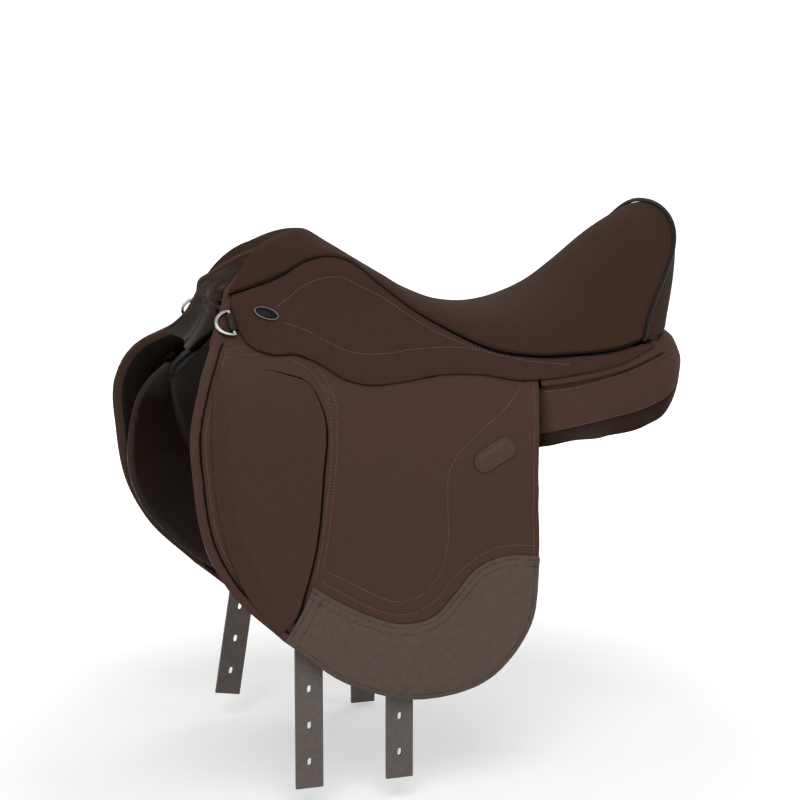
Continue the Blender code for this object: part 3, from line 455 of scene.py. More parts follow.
def leather_grain():
    """Pores and creases of leather in object space, with a slow change of shade."""
    group, take, give = start_group(
        "leather_grain",
        (("Colour", "NodeSocketColor", (0.05, 0.03, 0.02, 1)), ("Pores", "NodeSocketFloat", 900.0),
         ("Shade", "NodeSocketFloat", 0.15), ("Roughness", "NodeSocketFloat", 0.4)),
        (("Colour", "NodeSocketColor"), ("Roughness", "NodeSocketFloat"), ("Height", "NodeSocketFloat")))
    place = add_node(group, "ShaderNodeTexCoord").outputs["Object"]
    cells = add_node(group, "ShaderNodeTexVoronoi", {"Vector": place, "Scale": take["Pores"]},
                     feature="SMOOTH_F1").outputs["Distance"]
    noise = {"Vector": place, "Scale": 160.0, "Detail": 4.0}
    creases = add_node(group, "ShaderNodeTexNoise", noise).outputs["Fac"]
    level, drift = mottled(group, place, 14.0, take["Shade"])
    shade = tinted(group, take["Colour"], creases, 0.75, 1.25)
    group.links.new(scaled(group, shade, level), give["Colour"])
    group.links.new(calc(group, "MULTIPLY_ADD", drift, 0.25, take["Roughness"]), give["Roughness"])
    group.links.new(calc(group, "MULTIPLY_ADD", cells, 0.6, creases), give["Height"])
    return group


WOVEN_CLOTH = woven_cloth()
LEATHER_GRAIN = leather_grain()

# %% Materials


def finish_material(name, group, values, bump=0.0, bump_reach=0.0003, **plain):
    """A Principled material fed by a group, with plain values on the shader's own sockets."""
    made = bpy.data.materials.new(name)
    made.use_nodes = True
    tree = made.node_tree
    shader = tree.nodes["Principled BSDF"]
    grain = add_node(tree, "ShaderNodeGroup", node_tree=group)
    for label, value in values.items():
        grain.inputs[label].default_value = value
    tree.links.new(grain.outputs["Colour"], shader.inputs["Base Color"])
    if "Roughness" in grain.outputs:
        tree.links.new(grain.outputs["Roughness"], shader.inputs["Roughness"])
    if bump:
        relief = add_node(tree, "ShaderNodeBump", {"Strength": bump, "Distance": bump_reach,
                                                   "Height": grain.outputs["Height"]})
        tree.links.new(relief.outputs[0], shader.inputs["Normal"])
    for label, value in plain.items():
        shader.inputs[label.replace("_", " ")].default_value = value
    return made


def cloth_finish(name, colour, sheen=0.05):
    """Matt woven cloth with a little sheen."""
    return finish_material(name, WOVEN_CLOTH, {"Colour": (*colour, 1)}, 0.35, Roughness=0.9,
                           Sheen_Weight=sheen, Sheen_Roughness=0.5, Sheen_Tint=(0.75, 0.55, 0.45, 1),
                           Specular_IOR_Level=0.08)


def leather_finish(name, colour, roughness, pores=900.0, bump=0.4, shade=0.15, **plain):
    """Grained leather; with hardly any pores also thread, plastic and metal."""
    values = {"Colour": (*colour, 1), "Roughness": roughness, "Pores": pores, "Shade": shade}
    return finish_material(name, LEATHER_GRAIN, values, bump, **plain)


SEAT_CLOTH = cloth_finish("seat_suede", (0.0363, 0.0189, 0.0124), 0.03)
CLOTH = cloth_finish("brown_cloth", (0.057, 0.0309, 0.0238))
SKIRT_CLOTH = cloth_finish("skirt_cloth", (0.041, 0.0210, 0.0155), 0.03)
BLOCK_CLOTH = cloth_finish("block_cloth", (0.049, 0.0280, 0.0205))
PANEL_CLOTH = cloth_finish("panel_cloth", (0.056, 0.0298, 0.0225))
CANTLE_CLOTH = cloth_finish("cantle_cloth", (0.030, 0.0190, 0.0140), 0.03)
PATCH_LEATHER = leather_finish("grey_brown_leather", (0.086, 0.0580, 0.0440), 0.62, 700.0, 0.25, 0.10,
                               Specular_IOR_Level=0.3)
BADGE_LEATHER = leather_finish("badge_leather", (0.056, 0.0240, 0.0165), 0.5, 700.0, 0.25, 0.10,
                               Specular_IOR_Level=0.3)
GUSSET_LEATHER = leather_finish("gusset_leather", (0.021, 0.0088, 0.0050), 0.6, Specular_IOR_Level=0.08)
GLOSSY_LEATHER = leather_finish("glossy_leather", (0.0078, 0.0038, 0.0020), 0.33, 800.0, 0.5,
                                Specular_IOR_Level=0.24, Specular_Tint=(1, 0.82, 0.70, 1))
LINING_LEATHER = leather_finish("lining_leather", (0.0080, 0.0042, 0.0026), 0.6, 800.0, 0.3,
                                Specular_IOR_Level=0.10)
PIPING_LEATHER = leather_finish("piping_leather", (0.009, 0.0056, 0.0042), 0.45, Specular_IOR_Level=0.12)
# Laid in the flap's seams, this dark finish is painted shade for their dark lines.
SHADE_CORD = leather_finish("painted_shade_cord", (0.010, 0.0058, 0.0042), 0.8, Specular_IOR_Level=0.03)
STRAP_LEATHER = leather_finish("strap_leather", (0.125, 0.1050, 0.0930), 0.6, 1000.0, 0.3,
                               Specular_IOR_Level=0.3)
WEBBING = leather_finish("webbing", (0.10, 0.09, 0.08), 0.9)
TREE_PLASTIC = leather_finish("tree_plastic", (0.02, 0.02, 0.02), 0.5, 300.0, 0.1)
PALE_THREAD = leather_finish("pale_thread", (0.165, 0.108, 0.080), 0.6, 3000.0, 0.2, Specular_IOR_Level=0.2)
DARK_THREAD = leather_finish("dark_thread", (0.045, 0.026, 0.020), 0.6, 3000.0, 0.2, Specular_IOR_Level=0.2)
CHROME = leather_finish("chrome", (0.36, 0.35, 0.34), 0.14, 200.0, 0.03, 0.04, Metallic=1.0)
DARK_CHROME = leather_finish("dark_chrome", (0.10, 0.095, 0.09), 0.2, 200.0, 0.03, 0.04, Metallic=1.0)
STEEL = leather_finish("steel", (0.45, 0.45, 0.46), 0.32, 300.0, 0.1, 0.1, Metallic=1.0)
ENAMEL = leather_finish("enamel", (0.006, 0.005, 0.005), 0.3, 200.0, 0.02, Specular_IOR_Level=0.08)

# %% [markdown]
# ## From pattern to piece
# A leather piece starts as a flat pattern: an outline filled with one face, ringed along its
# edge so that the edge can be rounded, and cut into small squares. It gets a second face, and
# then every point is laid on the side form at its own depth.

# %% Pieces
SQUARE = 3.0                    # a pattern is cut into squares of this size
EDGE_RINGS = (0.3, 0.5, 0.8)    # widths of the rings along its edge
EDGE_ROUND = 1.6
SMALL_ROUND = 1.0               # for thin pieces
ON_FLAP = 0.1                   # a piece on the flap's face stands this far above it underneath


def keep(mesh, name, *finishes, smooth=60.0):
    """Make an object of a bmesh in millimetres, of one finish or more."""
    bmesh.ops.scale(mesh, verts=mesh.verts[:], vec=(MM, MM, MM))
    data = bpy.data.meshes.new(name)
    mesh.to_mesh(data)
    mesh.free()
    for stuff in finishes:
        data.materials.append(stuff)
    data.shade_smooth()
    data.set_sharp_from_angle(angle=radians(smooth))
    made = bpy.data.objects.new(name, data)
    bpy.context.scene.collection.objects.link(made)
    return made


def dress(piece, body, slot, *nodes):
    """Let a piece ride on a body and stand for nodes, whose solids it hides. The slot is not used."""
    if body:
        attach(piece, body)
    if nodes:
        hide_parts(*nodes)
    return piece


def cut_sheet(points, square=SQUARE, rings=EDGE_RINGS):
    """A flat pattern in x and z, ringed along its edge and cut into squares."""
    mesh = bmesh.new()
    face = mesh.faces.new([mesh.verts.new((x, 0, z)) for x, z in points])
    for width in rings:
        bmesh.ops.inset_region(mesh, faces=[face], thickness=width, use_even_offset=True)
    core = [face, *face.edges, *face.verts]
    low = np.min(points, axis=0)
    high = np.max(points, axis=0)
    for normal, first, last in (((1, 0, 0), low[0], high[0]), ((0, 0, 1), low[1], high[1])):
        for k in range(ceil(first / square), floor(last / square) + 1):
            core = bmesh.ops.bisect_plane(mesh, geom=core, dist=1e-3, plane_co=Vector(normal) * k * square,
                                          plane_no=normal)["geom"]
    return mesh


def thick(mesh, place_top, place_bottom, uv):
    """Give a flat mesh a second face, and move both to where they belong."""
    made = bmesh.ops.extrude_face_region(mesh, geom=mesh.faces[:])["geom"]
    raised = {v for v in made if isinstance(v, bmesh.types.BMVert)}
    verts = mesh.verts[:]
    flat = np.array([v.co for v in verts])
    is_top = np.array([v in raised for v in verts])
    spots = np.where(is_top[:, None], place_top(flat), place_bottom(flat))
    layer = mesh.loops.layers.uv.new("pattern")
    mesh.verts.index_update()
    marks = uv(flat) * MM
    for face in mesh.faces:
        face.material_index = int(not any(v in raised for v in face.verts))
        for loop in face.loops:
            loop[layer].uv = marks[loop.vert.index]
    for v, spot in zip(verts, spots):
        v.co = spot
    bmesh.ops.recalc_face_normals(mesh, faces=mesh.faces[:])


def rounded(gap, radius=EDGE_ROUND):
    """How far a rounded edge has fallen, gap inside it."""
    inside = radius - np.minimum(gap, radius)
    return radius - np.sqrt(np.maximum(radius**2 - inside**2, 0))


def lay_sheet(flat, name, side, edge, top, bottom, *finishes, radius=EDGE_ROUND):
    """Lay a cut sheet on the side form between two depths, with rounded edges."""
    mesh = flat.copy()

    def place(spots, depth, sign):
        """One face's points, its edge rounded towards the other face."""
        spots = spots[:, [0, 2]]
        level = depth(spots) if callable(depth) else np.full(len(spots), float(depth))
        fall = rounded(gap_to(spots, edge, closed=True), radius)
        return lay(spots[:, 0], spots[:, 1], level - sign * fall, side)
    thick(mesh, lambda p: place(p, top, 1), lambda p: place(p, bottom, -1), lambda p: p[:, [0, 2]])
    return keep(mesh, name, *finishes)


def sheet_between(top, bottom, name, *finishes):
    """A closed sheet between two nets of points, each row of a net running across the sheet."""
    rows, columns = top.shape[:2]
    mesh = bmesh.new()
    bmesh.ops.create_grid(mesh, x_segments=rows - 1, y_segments=columns - 1, size=0.5)
    marks = np.stack([run_along(top), run_along(top.transpose(1, 0, 2)).T], 2)

    def pick(net):
        """A function that gives a net's points at places of the flat grid."""
        def at(flat):
            """The net's points at these places."""
            i = np.rint((flat[:, 0] + 0.5) * (rows - 1)).astype(int)
            j = np.rint((flat[:, 1] + 0.5) * (columns - 1)).astype(int)
            return net[i, j]
        return at
    thick(mesh, pick(top), pick(bottom), pick(marks))
    return keep(mesh, name, *finishes)


# %% Stitches
STITCH_PITCH = 3.1
STITCH = (2.3, 1.05, 0.9)       # a stitch's length, width and height


def sew(name, side, rows, depth, stuff, laid=None):
    """Rows of stitches along lines of a pattern, each stitch a small drawn-out bead."""
    mesh = bmesh.new()
    place = laid or (lambda p, level: lay(p[:, 0], p[:, 1], level, side))
    count = 0
    for row in rows:
        row = np.asarray(row, float)
        along = run_along(row)
        at = np.arange(STITCH_PITCH / 2, along[-1], STITCH_PITCH)
        spots, ahead = (np.stack([np.interp(places, along, row[:, k]) for k in range(2)], 1)
                        for places in (at, at + 1))
        level = depth(spots) if callable(depth) else np.full(len(spots), float(depth))
        here = place(spots, level)
        above = place(spots, level + 1)
        there = place(ahead, level)
        for a, b, c in zip(here, above, there):
            out = Vector(b - a).normalized()
            run = Vector(c - a)
            if run.length < 1e-6:
                continue
            run = (run - out * run.dot(out)).normalized()
            over = out.cross(run)
            length, width, height = STITCH
            turned = Matrix((over * width / 2, out * height / 2, run * length / 2)).transposed().to_4x4()
            bmesh.ops.create_uvsphere(mesh, u_segments=6, v_segments=4, radius=1.0,
                                      matrix=Matrix.Translation(Vector(a)) @ turned)
            count += 1
    print(name, count, "stitches")
    return keep(mesh, name, stuff)


def bridge(mesh, loops, closed=False):
    """Join loops of edges into a skin; a row that doesn't close gets its two ends filled."""
    for first, second in zip(loops, loops[1:] + (loops[:1] if closed else [])):
        bmesh.ops.bridge_loops(mesh, edges=first + second)
    if not closed:
        for ends in (loops[0], loops[-1]):
            bmesh.ops.holes_fill(mesh, edges=ends, sides=0)
    bmesh.ops.recalc_face_normals(mesh, faces=mesh.faces[:])


def pipe(path, radius, sides=12, closed=False):
    """A bead along a path: a circle at each point, each bridged to the next."""
    mesh = bmesh.new()
    path = [Vector(p) for p in path]
    count = len(path)
    rings = []
    up = None
    for k, spot in enumerate(path):
        before = path[k - 1] if (closed or k) else spot
        after = path[(k + 1) % count] if (closed or k < count - 1) else spot
        along = (after - before).normalized()
        up = along.orthogonal() if up is None else up
        up = (up - along * up.dot(along)).normalized()
        size = radius(k / (count - 1)) if callable(radius) else radius
        turned = Matrix((up, along.cross(up), along)).transposed().to_4x4()
        made = bmesh.ops.create_circle(mesh, segments=sides, radius=size,
                                       matrix=Matrix.Translation(spot) @ turned)
        rings.append(set(made["verts"]))
    loops = [[e for e in {e for v in ring for e in v.link_edges} if set(e.verts) <= ring] for ring in rings]
    bridge(mesh, loops, closed)
    return mesh


def bead(name, path, radius, stuff, body, slot, *nodes, sides=12, closed=False):
    """A bead along a path as a dressed piece."""
    return dress(keep(pipe(path, radius, sides, closed), name, stuff), body, slot, *nodes)

# %% [markdown]
# ## The flap
# The flap is one sheet from the seat's seam to its foot. It bends on a straight line. Its front
# edge is a rolled welt; the rows of stitches pull the padded cloth down a little.

# %% Flap
FIT = 0.4                       # room between two layers
FLAP = 4.0                      # thicknesses of the flap and the skirt
SKIRT = 3.2
SEAM_GAP = 1.7                  # between the seat's seam and the tops of flap and skirt
UNDER_SEAM = 3.8                # how far the seat's underside stays inside its seam
WELT = 9.0                      # width of the rolled welt along the flap's front
WELT_ROLL = 1.5                 # how high it stands
WELT_SEAM = (2.0, 1.2)          # depth and width of its seam
BLOCK_SEAM = (2.4, 1.5)         # depth and width of the groove behind the knee block
LINING_THICK = 0.8
LINING_ROUND = 0.6
SHADE_CORD_SIZE = 0.9            # radius of the dark bead in the welt's seam, painted shade for its dark line
SHADE_CORD_DEPTH = -0.3
BLOCK_SHADE_CORD = (1.5, 0.6, 1.15)   # the block's dark bead, painted shade along its seam: how far outside its seam it lies, its depth and radius
SHADE_CORD_START = (3.0, 8)           # it comes up from this deep over this many points
SEAM_SINK = 0.9                 # how far rows of stitches pull the cloth down, and how far around them
SEAM_RUN = 5.0
ROW_INSET = 5.0                 # a row of stitches lies this far inside an edge
THREAD_LIFT = 0.3
SEAM = ((-186, 172), (-166, 177), (-134, 187), (-107, 201), (-84, 205), (-57, 196), (-31, 174),
        (-6, 152), (26, 131), (60, 114), (99, 107), (145, 107), (190, 111), (216, 117))
FLAP_FRONT = ((-189, 170), (-207, 135), (-237, 104), (-254, 62), (-253, 12), (-242, -50), (-221, -90),
              (-170, -142))
FLAP_LOW = ((-170, -142), (-106, -190), (-24, -212), (38, -198), (80, -149), (89, -84), (87, 4), (90, 52),
            (98, 90))
FLAP_LINE = ((81, 87), (67, 71), (51, 57), (29, 41), (7, 24), (-4, 7), (-6, -19), (-6, -64), (-17, -95),
             (-42, -113), (-57, -114), (-80, -105), (-99, -94), (-130, -77))
FLAP_LINE_LOW = ((84, -70), (56, -68), (37, -71), (20, -80), (6, -90), (-7, -103), (-16, -114), (-30, -123),
                 (-46, -127), (-61, -126), (-80, -119), (-99, -109), (-130, -89))
BLOCK_LINE = ((-203, 124), (-175, 125), (-151, 123), (-132, 118), (-118, 110), (-110, 96), (-107, 80),
              (-112, 56), (-118, 13), (-123, -29), (-128, -63), (-131, -77))
BLOCK_LINE_NEAR = ((-203, 118), (-176, 119), (-153, 117), (-136, 112), (-123, 104), (-116, 92), (-114, 79),
                   (-118, 56), (-123, 13), (-128, -29), (-133, -63), (-138, -86))
BAR_PLACE = (-66.0, 109.0)
BAR_TURN = -13.0
WINDOW_AT = (8.0, 10.0)          # the window's middle from the bar's, along it and up
WINDOW_SIZE = (130.0, 30.0)


def seam_line(start, end, drop=0.0):
    """The seat's seam on the pattern between two x, drop below it."""
    x = np.linspace(start, end, max(2, round(abs(end - start) / 9)))
    return np.stack([x, read_table(SEAM, x)[..., 0] - drop], 1)


def groove(gap, size):
    """The depth of a groove of a depth and a width, gap from its middle."""
    return size[0] * np.exp(-(gap / size[1])**2)


def sunk(places, lines, depth=SEAM_SINK, cut=(0.5, 1.2)):
    """How padded cloth dips at its rows of stitches: softly around them and sharply at them."""
    gap = gap_to(places, *lines)
    return -depth * np.exp(-gap / SEAM_RUN) - groove(gap, cut)


BLOCK_BACK = ((-214, 110), (-181, 107), (-151, 99), (-132, 91), (-126, 70), (-131, 19), (-140.5, -62),
              (-149, -93), (-160, -123), (-174, -136))
BLOCK_CURVE = beside(BLOCK_BACK, 0.8)[13:-6]
FRONT_CURVE = stretch(FLAP_FRONT)
FLAP_ROWS = [beside(FLAP_FRONT[1:], WELT + ROW_INSET), beside(FLAP_LOW[5:], ROW_INSET), stretch(FLAP_LINE),
             stretch(FLAP_LINE_LOW), stretch(BLOCK_LINE), stretch(BLOCK_LINE_NEAR)]
FLAP_TOP = (98, -186)           # where the flap's top begins and ends on the seat's seam
FLAP_CORNERS = [seam_line(x, x, SEAM_GAP)[0] for x in FLAP_TOP]
FLAP_EDGE = outline(FLAP_FRONT, FLAP_LOW, (FLAP_LOW[-1], FLAP_CORNERS[0]), seam_line(*FLAP_TOP, SEAM_GAP),
                    (FLAP_CORNERS[1], FLAP_FRONT[0]))


def flap_face(places):
    """The depth of the flap's outer face: a rolled welt, its seam, the dipped rows and the block's seam."""
    front = gap_to(places, FRONT_CURVE)
    roll = np.where(front < WELT, WELT_ROLL * np.sin(pi * np.clip(front / WELT, 0, 1))**0.7, 0)
    seam = groove(front - WELT, WELT_SEAM) + groove(gap_to(places, BLOCK_CURVE), BLOCK_SEAM)
    return roll - seam + sunk(places, FLAP_ROWS)


def slot_shape(place, size, turn=0.0, count=10):
    """The outline of a round-ended slot."""
    reach = (size[0] - size[1]) / 2
    round_end = size[1] / 2
    angles = [(end, start + pi * k / count) for end, start in ((1, -pi / 2), (-1, pi / 2))
              for k in range(count + 1)]
    turned = Matrix.Rotation(radians(turn), 2)
    return np.array([Vector(place) + turned @ Vector((end * reach + round_end * cos(at), round_end * sin(at)))
                     for end, at in angles])


def window_shape():
    """The window for the stirrup bar, drawn on the bar's own plane and seen from the side."""
    origin, along, up, out = local_frame(*BAR_PLACE, BAR_TURN, -1)
    points = [origin + along * a + up * b for a, b in slot_shape(WINDOW_AT, WINDOW_SIZE)]
    return np.array([(p.x, p.z) for p in points])


def inside(places, shape):
    """Whether each place lies inside a closed outline."""
    crossed = np.zeros(len(places), bool)
    for (ax, az), (bx, bz) in zip(shape, np.roll(shape, -1, axis=0)):
        spans = (az > places[:, 1]) != (bz > places[:, 1])
        reach = ax + (places[:, 1] - az) / (bz - az if bz != az else 1e-9) * (bx - ax)
        crossed ^= spans & (places[:, 0] < reach)
    return crossed


def cut_window(mesh, shape):
    """Open a hole in a cut sheet, and draw its rim onto the hole's outline."""
    faces = mesh.faces[:]
    middles = np.array([f.calc_center_median() for f in faces])[:, [0, 2]]
    gone = [f for f, out in zip(faces, inside(middles, shape)) if out]
    rim = {v for f in gone for v in f.verts}
    bmesh.ops.delete(mesh, geom=gone, context="FACES")
    dense = np.concatenate([np.linspace(a, b, 12, False) for a, b in zip(shape, np.roll(shape, -1, axis=0))])
    for v in rim:
        if v.is_valid:
            near = dense[np.argmin(np.hypot(*(dense - (v.co.x, v.co.z)).T))]
            v.co.x, v.co.z = near


INSIDE_FRONT = beside(FLAP_FRONT, WELT)
INSIDE_LOW = beside(FLAP_LOW[:-2], 3.0)
INSIDE_EDGE = outline(INSIDE_FRONT[3::4], INSIDE_LOW[4::4], ((85, 0), (87, 60)),
                      ((87, 60), (20, 82), (-80, 110), (-170, 136)), ((-170, 136), INSIDE_FRONT[3]))


def bend_way(ends, side):
    """The middle of a bend, and the way down the leather there."""
    middle = ends[0].lerp(ends[1], 0.5)
    out = Vector((lay(middle.x, middle.z, 1, side) - lay(middle.x, middle.z, 0, side))[0]).normalized()
    down = (ends[1] - ends[0]).normalized().cross(out).normalized()
    return middle, down if down.z < 0 else -down


flap_flat = cut_sheet(FLAP_EDGE)
inside_flat = cut_sheet(INSIDE_EDGE, rings=(0.4,))
cut_window(flap_flat, window_shape())
for name, side in SIDES.items():
    flap = lay_sheet(flap_flat, f"{name}_flap_leather", side, FLAP_EDGE, flap_face, -FLAP, CLOTH, CLOTH)
    dress(flap, None, "brown_fabric", f"{name}_flap", f"{name}_flap_top")
    thread = sew(f"{name}_flap_stitches", side, FLAP_ROWS, lambda p: flap_face(p) + THREAD_LIFT, PALE_THREAD)
    dress(thread, None, "brown_fabric")
    inner = lay_sheet(inside_flat, f"{name}_flap_lining", side, INSIDE_EDGE, 0.1 - FLAP, -FLAP - LINING_THICK,
                      LINING_LEATHER, radius=LINING_ROUND)
    dress(inner, None, "dark_leather")
    # The dark beads in the welt's seam and behind the knee block are painted shade for those seams' dark
    # lines.
    welt_seam = lay(*beside(FLAP_FRONT[1:], WELT).T, SHADE_CORD_DEPTH, side)
    shade_cord = bead(f"{name}_welt_shade_cord", welt_seam, SHADE_CORD_SIZE, SHADE_CORD, None, "dark_leather", sides=8)
    block_line = beside(BLOCK_CURVE, BLOCK_SHADE_CORD[0])
    sink = SHADE_CORD_START[0] * np.clip(1 - np.arange(len(block_line)) / SHADE_CORD_START[1], 0, 1)
    block_seam = lay(*block_line.T, BLOCK_SHADE_CORD[1] - sink, side)
    bead(f"{name}_block_shade_cord", block_seam, BLOCK_SHADE_CORD[2], SHADE_CORD, f"{name}_flap_body", "dark_leather",
         sides=10)
    middle, down = bend_way([Vector((p.x, side * p.y, p.z)) for p in (BEND_FRONT, BEND_REAR)], side)
    for piece in (flap, thread, inner, shade_cord):
        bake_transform(piece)
    print(flap.name, len(flap.data.polygons), "faces")

# %% [markdown]
# ## The knee block
# Under the rider's knee the flap carries a padded block. Its cloth has a flat margin in front,
# then swells at once and falls away towards the back, where it ends in a crisp seam.

# %% Knee block
BLOCK_RISE = 14.0
BLOCK_MARGIN = 2.0              # how high its flat margin stands
BLOCK_ROUND = 1.4
BLOCK_SWELL = 9.0               # its front swells over this far, and its back falls over this
BLOCK_FALL = 88.0
BLOCK_LEAST = 0.22              # the share of its height that is left at its back
BLOCK_TOP = (112, 26.0)         # the height where it runs out at its top, and over how far
BLOCK_FOOT = (-139, 60.0)       # the same at its foot
BLOCK_FRONT = ((-174, -136), (-201, -102), (-222, -54), (-234, 8), (-235, 60), (-229, 90), (-214, 110))
BLOCK_CREASE = ((-171, -131), (-189, -103), (-205, -74), (-218, -40), (-225, -2), (-228, 35), (-226, 69),
                (-215, 100), (-207, 110))
BLOCK_EDGE = outline(BLOCK_BACK, BLOCK_FRONT)


def ease(value):
    """A smooth step from 0 to 1."""
    value = np.clip(value, 0, 1)
    return value * value * (3 - 2 * value)


def block_face(places):
    """The depth of the knee block's face."""
    crease = stretch(BLOCK_CREASE)
    behind = places[:, 0] - np.interp(places[:, 1], crease[:, 1], crease[:, 0])
    swell = np.where(behind > 0, ease(gap_to(places, crease) / BLOCK_SWELL), 0)
    back = ease((gap_to(places, stretch(BLOCK_BACK[3:])) - 2) / BLOCK_FALL)
    fall = BLOCK_LEAST + (1 - BLOCK_LEAST) * back
    top = ease((BLOCK_TOP[0] - places[:, 1]) / BLOCK_TOP[1])
    foot = ease((places[:, 1] - BLOCK_FOOT[0]) / BLOCK_FOOT[1])
    return FIT + BLOCK_MARGIN + (BLOCK_RISE - BLOCK_MARGIN) * swell * fall * top * foot


block_flat = cut_sheet(BLOCK_EDGE)
for name, side in SIDES.items():
    block = lay_sheet(block_flat, f"{name}_knee_pad", side, BLOCK_EDGE, block_face, ON_FLAP, BLOCK_CLOTH,
                      radius=BLOCK_ROUND)
    dress(block, f"{name}_flap_body", "brown_fabric", f"{name}_knee_block")

# %% [markdown]
# ## The leather patch and the badge
# A smooth grey-brown leather covers the flap's foot. It is sewn on with two rows along its top
# and its front, and one round the edge. Higher up sits a small pill of the same leather, bare.

# %% Patch and badge
PATCH = 1.2
PATCH_THREAD = 0.25             # how far its stitches stand above it
PATCH_TOP = ((-141, -92), (-115, -109), (-85, -125), (-50, -136), (-20, -131), (0, -112), (26, -86),
             (50, -78), (88, -80))
PATCH_LOW = ((89.2, -84), (80.2, -149), (38.2, -198), (-24, -212.2), (-106, -190.2), (-169, -142.6))
PATCH_EDGE = outline(PATCH_TOP, (PATCH_TOP[-1], PATCH_LOW[0]), PATCH_LOW,
                     (PATCH_LOW[-1], (-152, -116), PATCH_TOP[0]))
PATCH_ROWS = [beside(PATCH_TOP, -4.0), beside(PATCH_TOP, -10.5),
              beside(((-141, -96), (-152, -116), (-166, -138)), 4.0),
              beside(((-138, -101), (-150, -122), (-162, -141)), 7.5),
              beside(((89, -88), (80, -149), (38, -198), (-24, -212), (-106, -190), (-160, -150)), -4.5)]
BADGE_PLACE = (43.0, 21.0)
BADGE_SIZE = (46.0, 20.0)
BADGE_TURN = 27.0
BADGE_THICK = 1.6
BADGE_EDGE = slot_shape(BADGE_PLACE, BADGE_SIZE, BADGE_TURN)
BADGE_LINE = slot_shape(BADGE_PLACE, (BADGE_SIZE[0] - 6, BADGE_SIZE[1] - 6), BADGE_TURN)


def patch_face(places):
    """The patch's face, dipped at its rows."""
    return FIT + PATCH + 0.7 + sunk(places, PATCH_ROWS, 0.7)


def badge_face(places):
    """The badge's face: a soft pillow inside a pressed line."""
    rim = gap_to(places, BADGE_LINE, closed=True)
    pillow = np.where(inside(places, BADGE_LINE), 0.8 * ease(rim / 5), 0)
    return FIT + BADGE_THICK + pillow - groove(rim, (0.8, 0.9))


patch_flat = cut_sheet(PATCH_EDGE)
badge_flat = cut_sheet(BADGE_EDGE, 1.2, (0.2, 0.3, 0.4))
for name, side in SIDES.items():
    body = f"{name}_flap_body"
    patch = lay_sheet(patch_flat, f"{name}_foot_patch", side, PATCH_EDGE, patch_face, ON_FLAP,
                      PATCH_LEATHER, radius=SMALL_ROUND)
    dress(patch, body, "patch_leather", f"{name}_flap_patch")
    thread = sew(f"{name}_patch_stitches", side, PATCH_ROWS, lambda p: patch_face(p) + PATCH_THREAD,
                 DARK_THREAD)
    dress(thread, body, "patch_leather")
    badge = lay_sheet(badge_flat, f"{name}_bare_badge", side, BADGE_EDGE, badge_face, ON_FLAP,
                      BADGE_LEATHER, radius=SMALL_ROUND)
    dress(badge, body, "patch_leather", f"{name}_flap_badge")

# %% [markdown]
# ## The skirt
# The skirt is sewn into the seat's seam and, on the real saddle, lifts off the flap to show the
# stirrup bar. It is one sheet again. Two rows cross it in long curves.

# %% Skirt
SKIRT_FRONT = ((-186, 168), (-184, 146), (-176, 125), (-159, 117), (-130, 115), (-113, 107), (-92, 93),
               (-69, 87), (-38, 88), (12, 94), (40, 93), (78, 87), (135, 90), (190, 99), (228, 113))
SKIRT_LINE = ((-143, 156), (-130, 165), (-109, 178), (-93, 183), (-75, 183), (-52, 172), (-33, 162),
              (-10, 144), (18, 126), (51, 112), (88, 103), (131, 98))
SKIRT_LINE_LOW = ((-138, 143), (-117, 135), (-98, 124), (-85, 117), (-69, 113), (-46, 112), (-16, 115),
                  (10, 116), (31, 115), (51, 112))
SKIRT_BEND = ((-192, 149), (52, 94))
SKIRT_ROWS = [stretch(SKIRT_LINE), stretch(SKIRT_LINE_LOW), beside(SKIRT_FRONT, ROW_INSET)]
SKIRT_TOP_LINE = seam_line(214, -186, SEAM_GAP)
SKIRT_EDGE = outline(SKIRT_FRONT, (SKIRT_FRONT[-1], SKIRT_TOP_LINE[0]), SKIRT_TOP_LINE)


def skirt_face(places):
    """The skirt's outer face; it dips at its rows and where it meets the seat."""
    tuck = 1.2 * np.exp(-gap_to(places, SKIRT_TOP_LINE) / 3.0)
    return FIT + SKIRT + 0.3 + sunk(places, SKIRT_ROWS, 0.6) - tuck


skirt_flat = cut_sheet(SKIRT_EDGE)
for name, side in SIDES.items():
    skirt = lay_sheet(skirt_flat, f"{name}_skirt_cloth", side, SKIRT_EDGE, skirt_face, FIT + 0.1, SKIRT_CLOTH,
                      LINING_LEATHER)
    dress(skirt, None, "brown_fabric", f"{name}_skirt", f"{name}_skirt_top")
    thread = sew(f"{name}_skirt_stitches", side, SKIRT_ROWS[:2], lambda p: skirt_face(p) + THREAD_LIFT,
                 PALE_THREAD)
    dress(thread, None, "brown_fabric")
    edging = sew(f"{name}_skirt_edge_stitches", side, SKIRT_ROWS[2:], lambda p: skirt_face(p) + 0.1,
                 DARK_THREAD)
    dress(edging, None, "brown_fabric")
    middle, down = bend_way([Vector(lay(*place, FIT + SKIRT, side)[0]) for place in SKIRT_BEND], side)
    for piece in (skirt, thread, edging):
        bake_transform(piece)

# %% [markdown]
# Behind the flap the same cloth shows between the skirt's edge and the panel's welt.

# %% Cloth behind the flap
STRIP_LOW = ((100, 83), (124, 84.5), (157, 87.5), (193, 93.5), (218, 101.5), (238, 109))
STRIP_HIGH = ((238, 109), (231, 118), (218, 114), (190, 105), (135, 97), (100, 96))
STRIP_EDGE = outline(STRIP_LOW, STRIP_HIGH, (STRIP_HIGH[-1], STRIP_LOW[0]))
STRIP_FACES = (-0.6, -4.0)      # depths of its two faces

strip_flat = cut_sheet(STRIP_EDGE, rings=(0.4, 0.6))
for name, side in SIDES.items():
    strip = lay_sheet(strip_flat, f"{name}_rear_cloth", side, STRIP_EDGE, *STRIP_FACES, PANEL_CLOTH,
                      radius=SMALL_ROUND)
    dress(strip, "root", "brown_fabric")

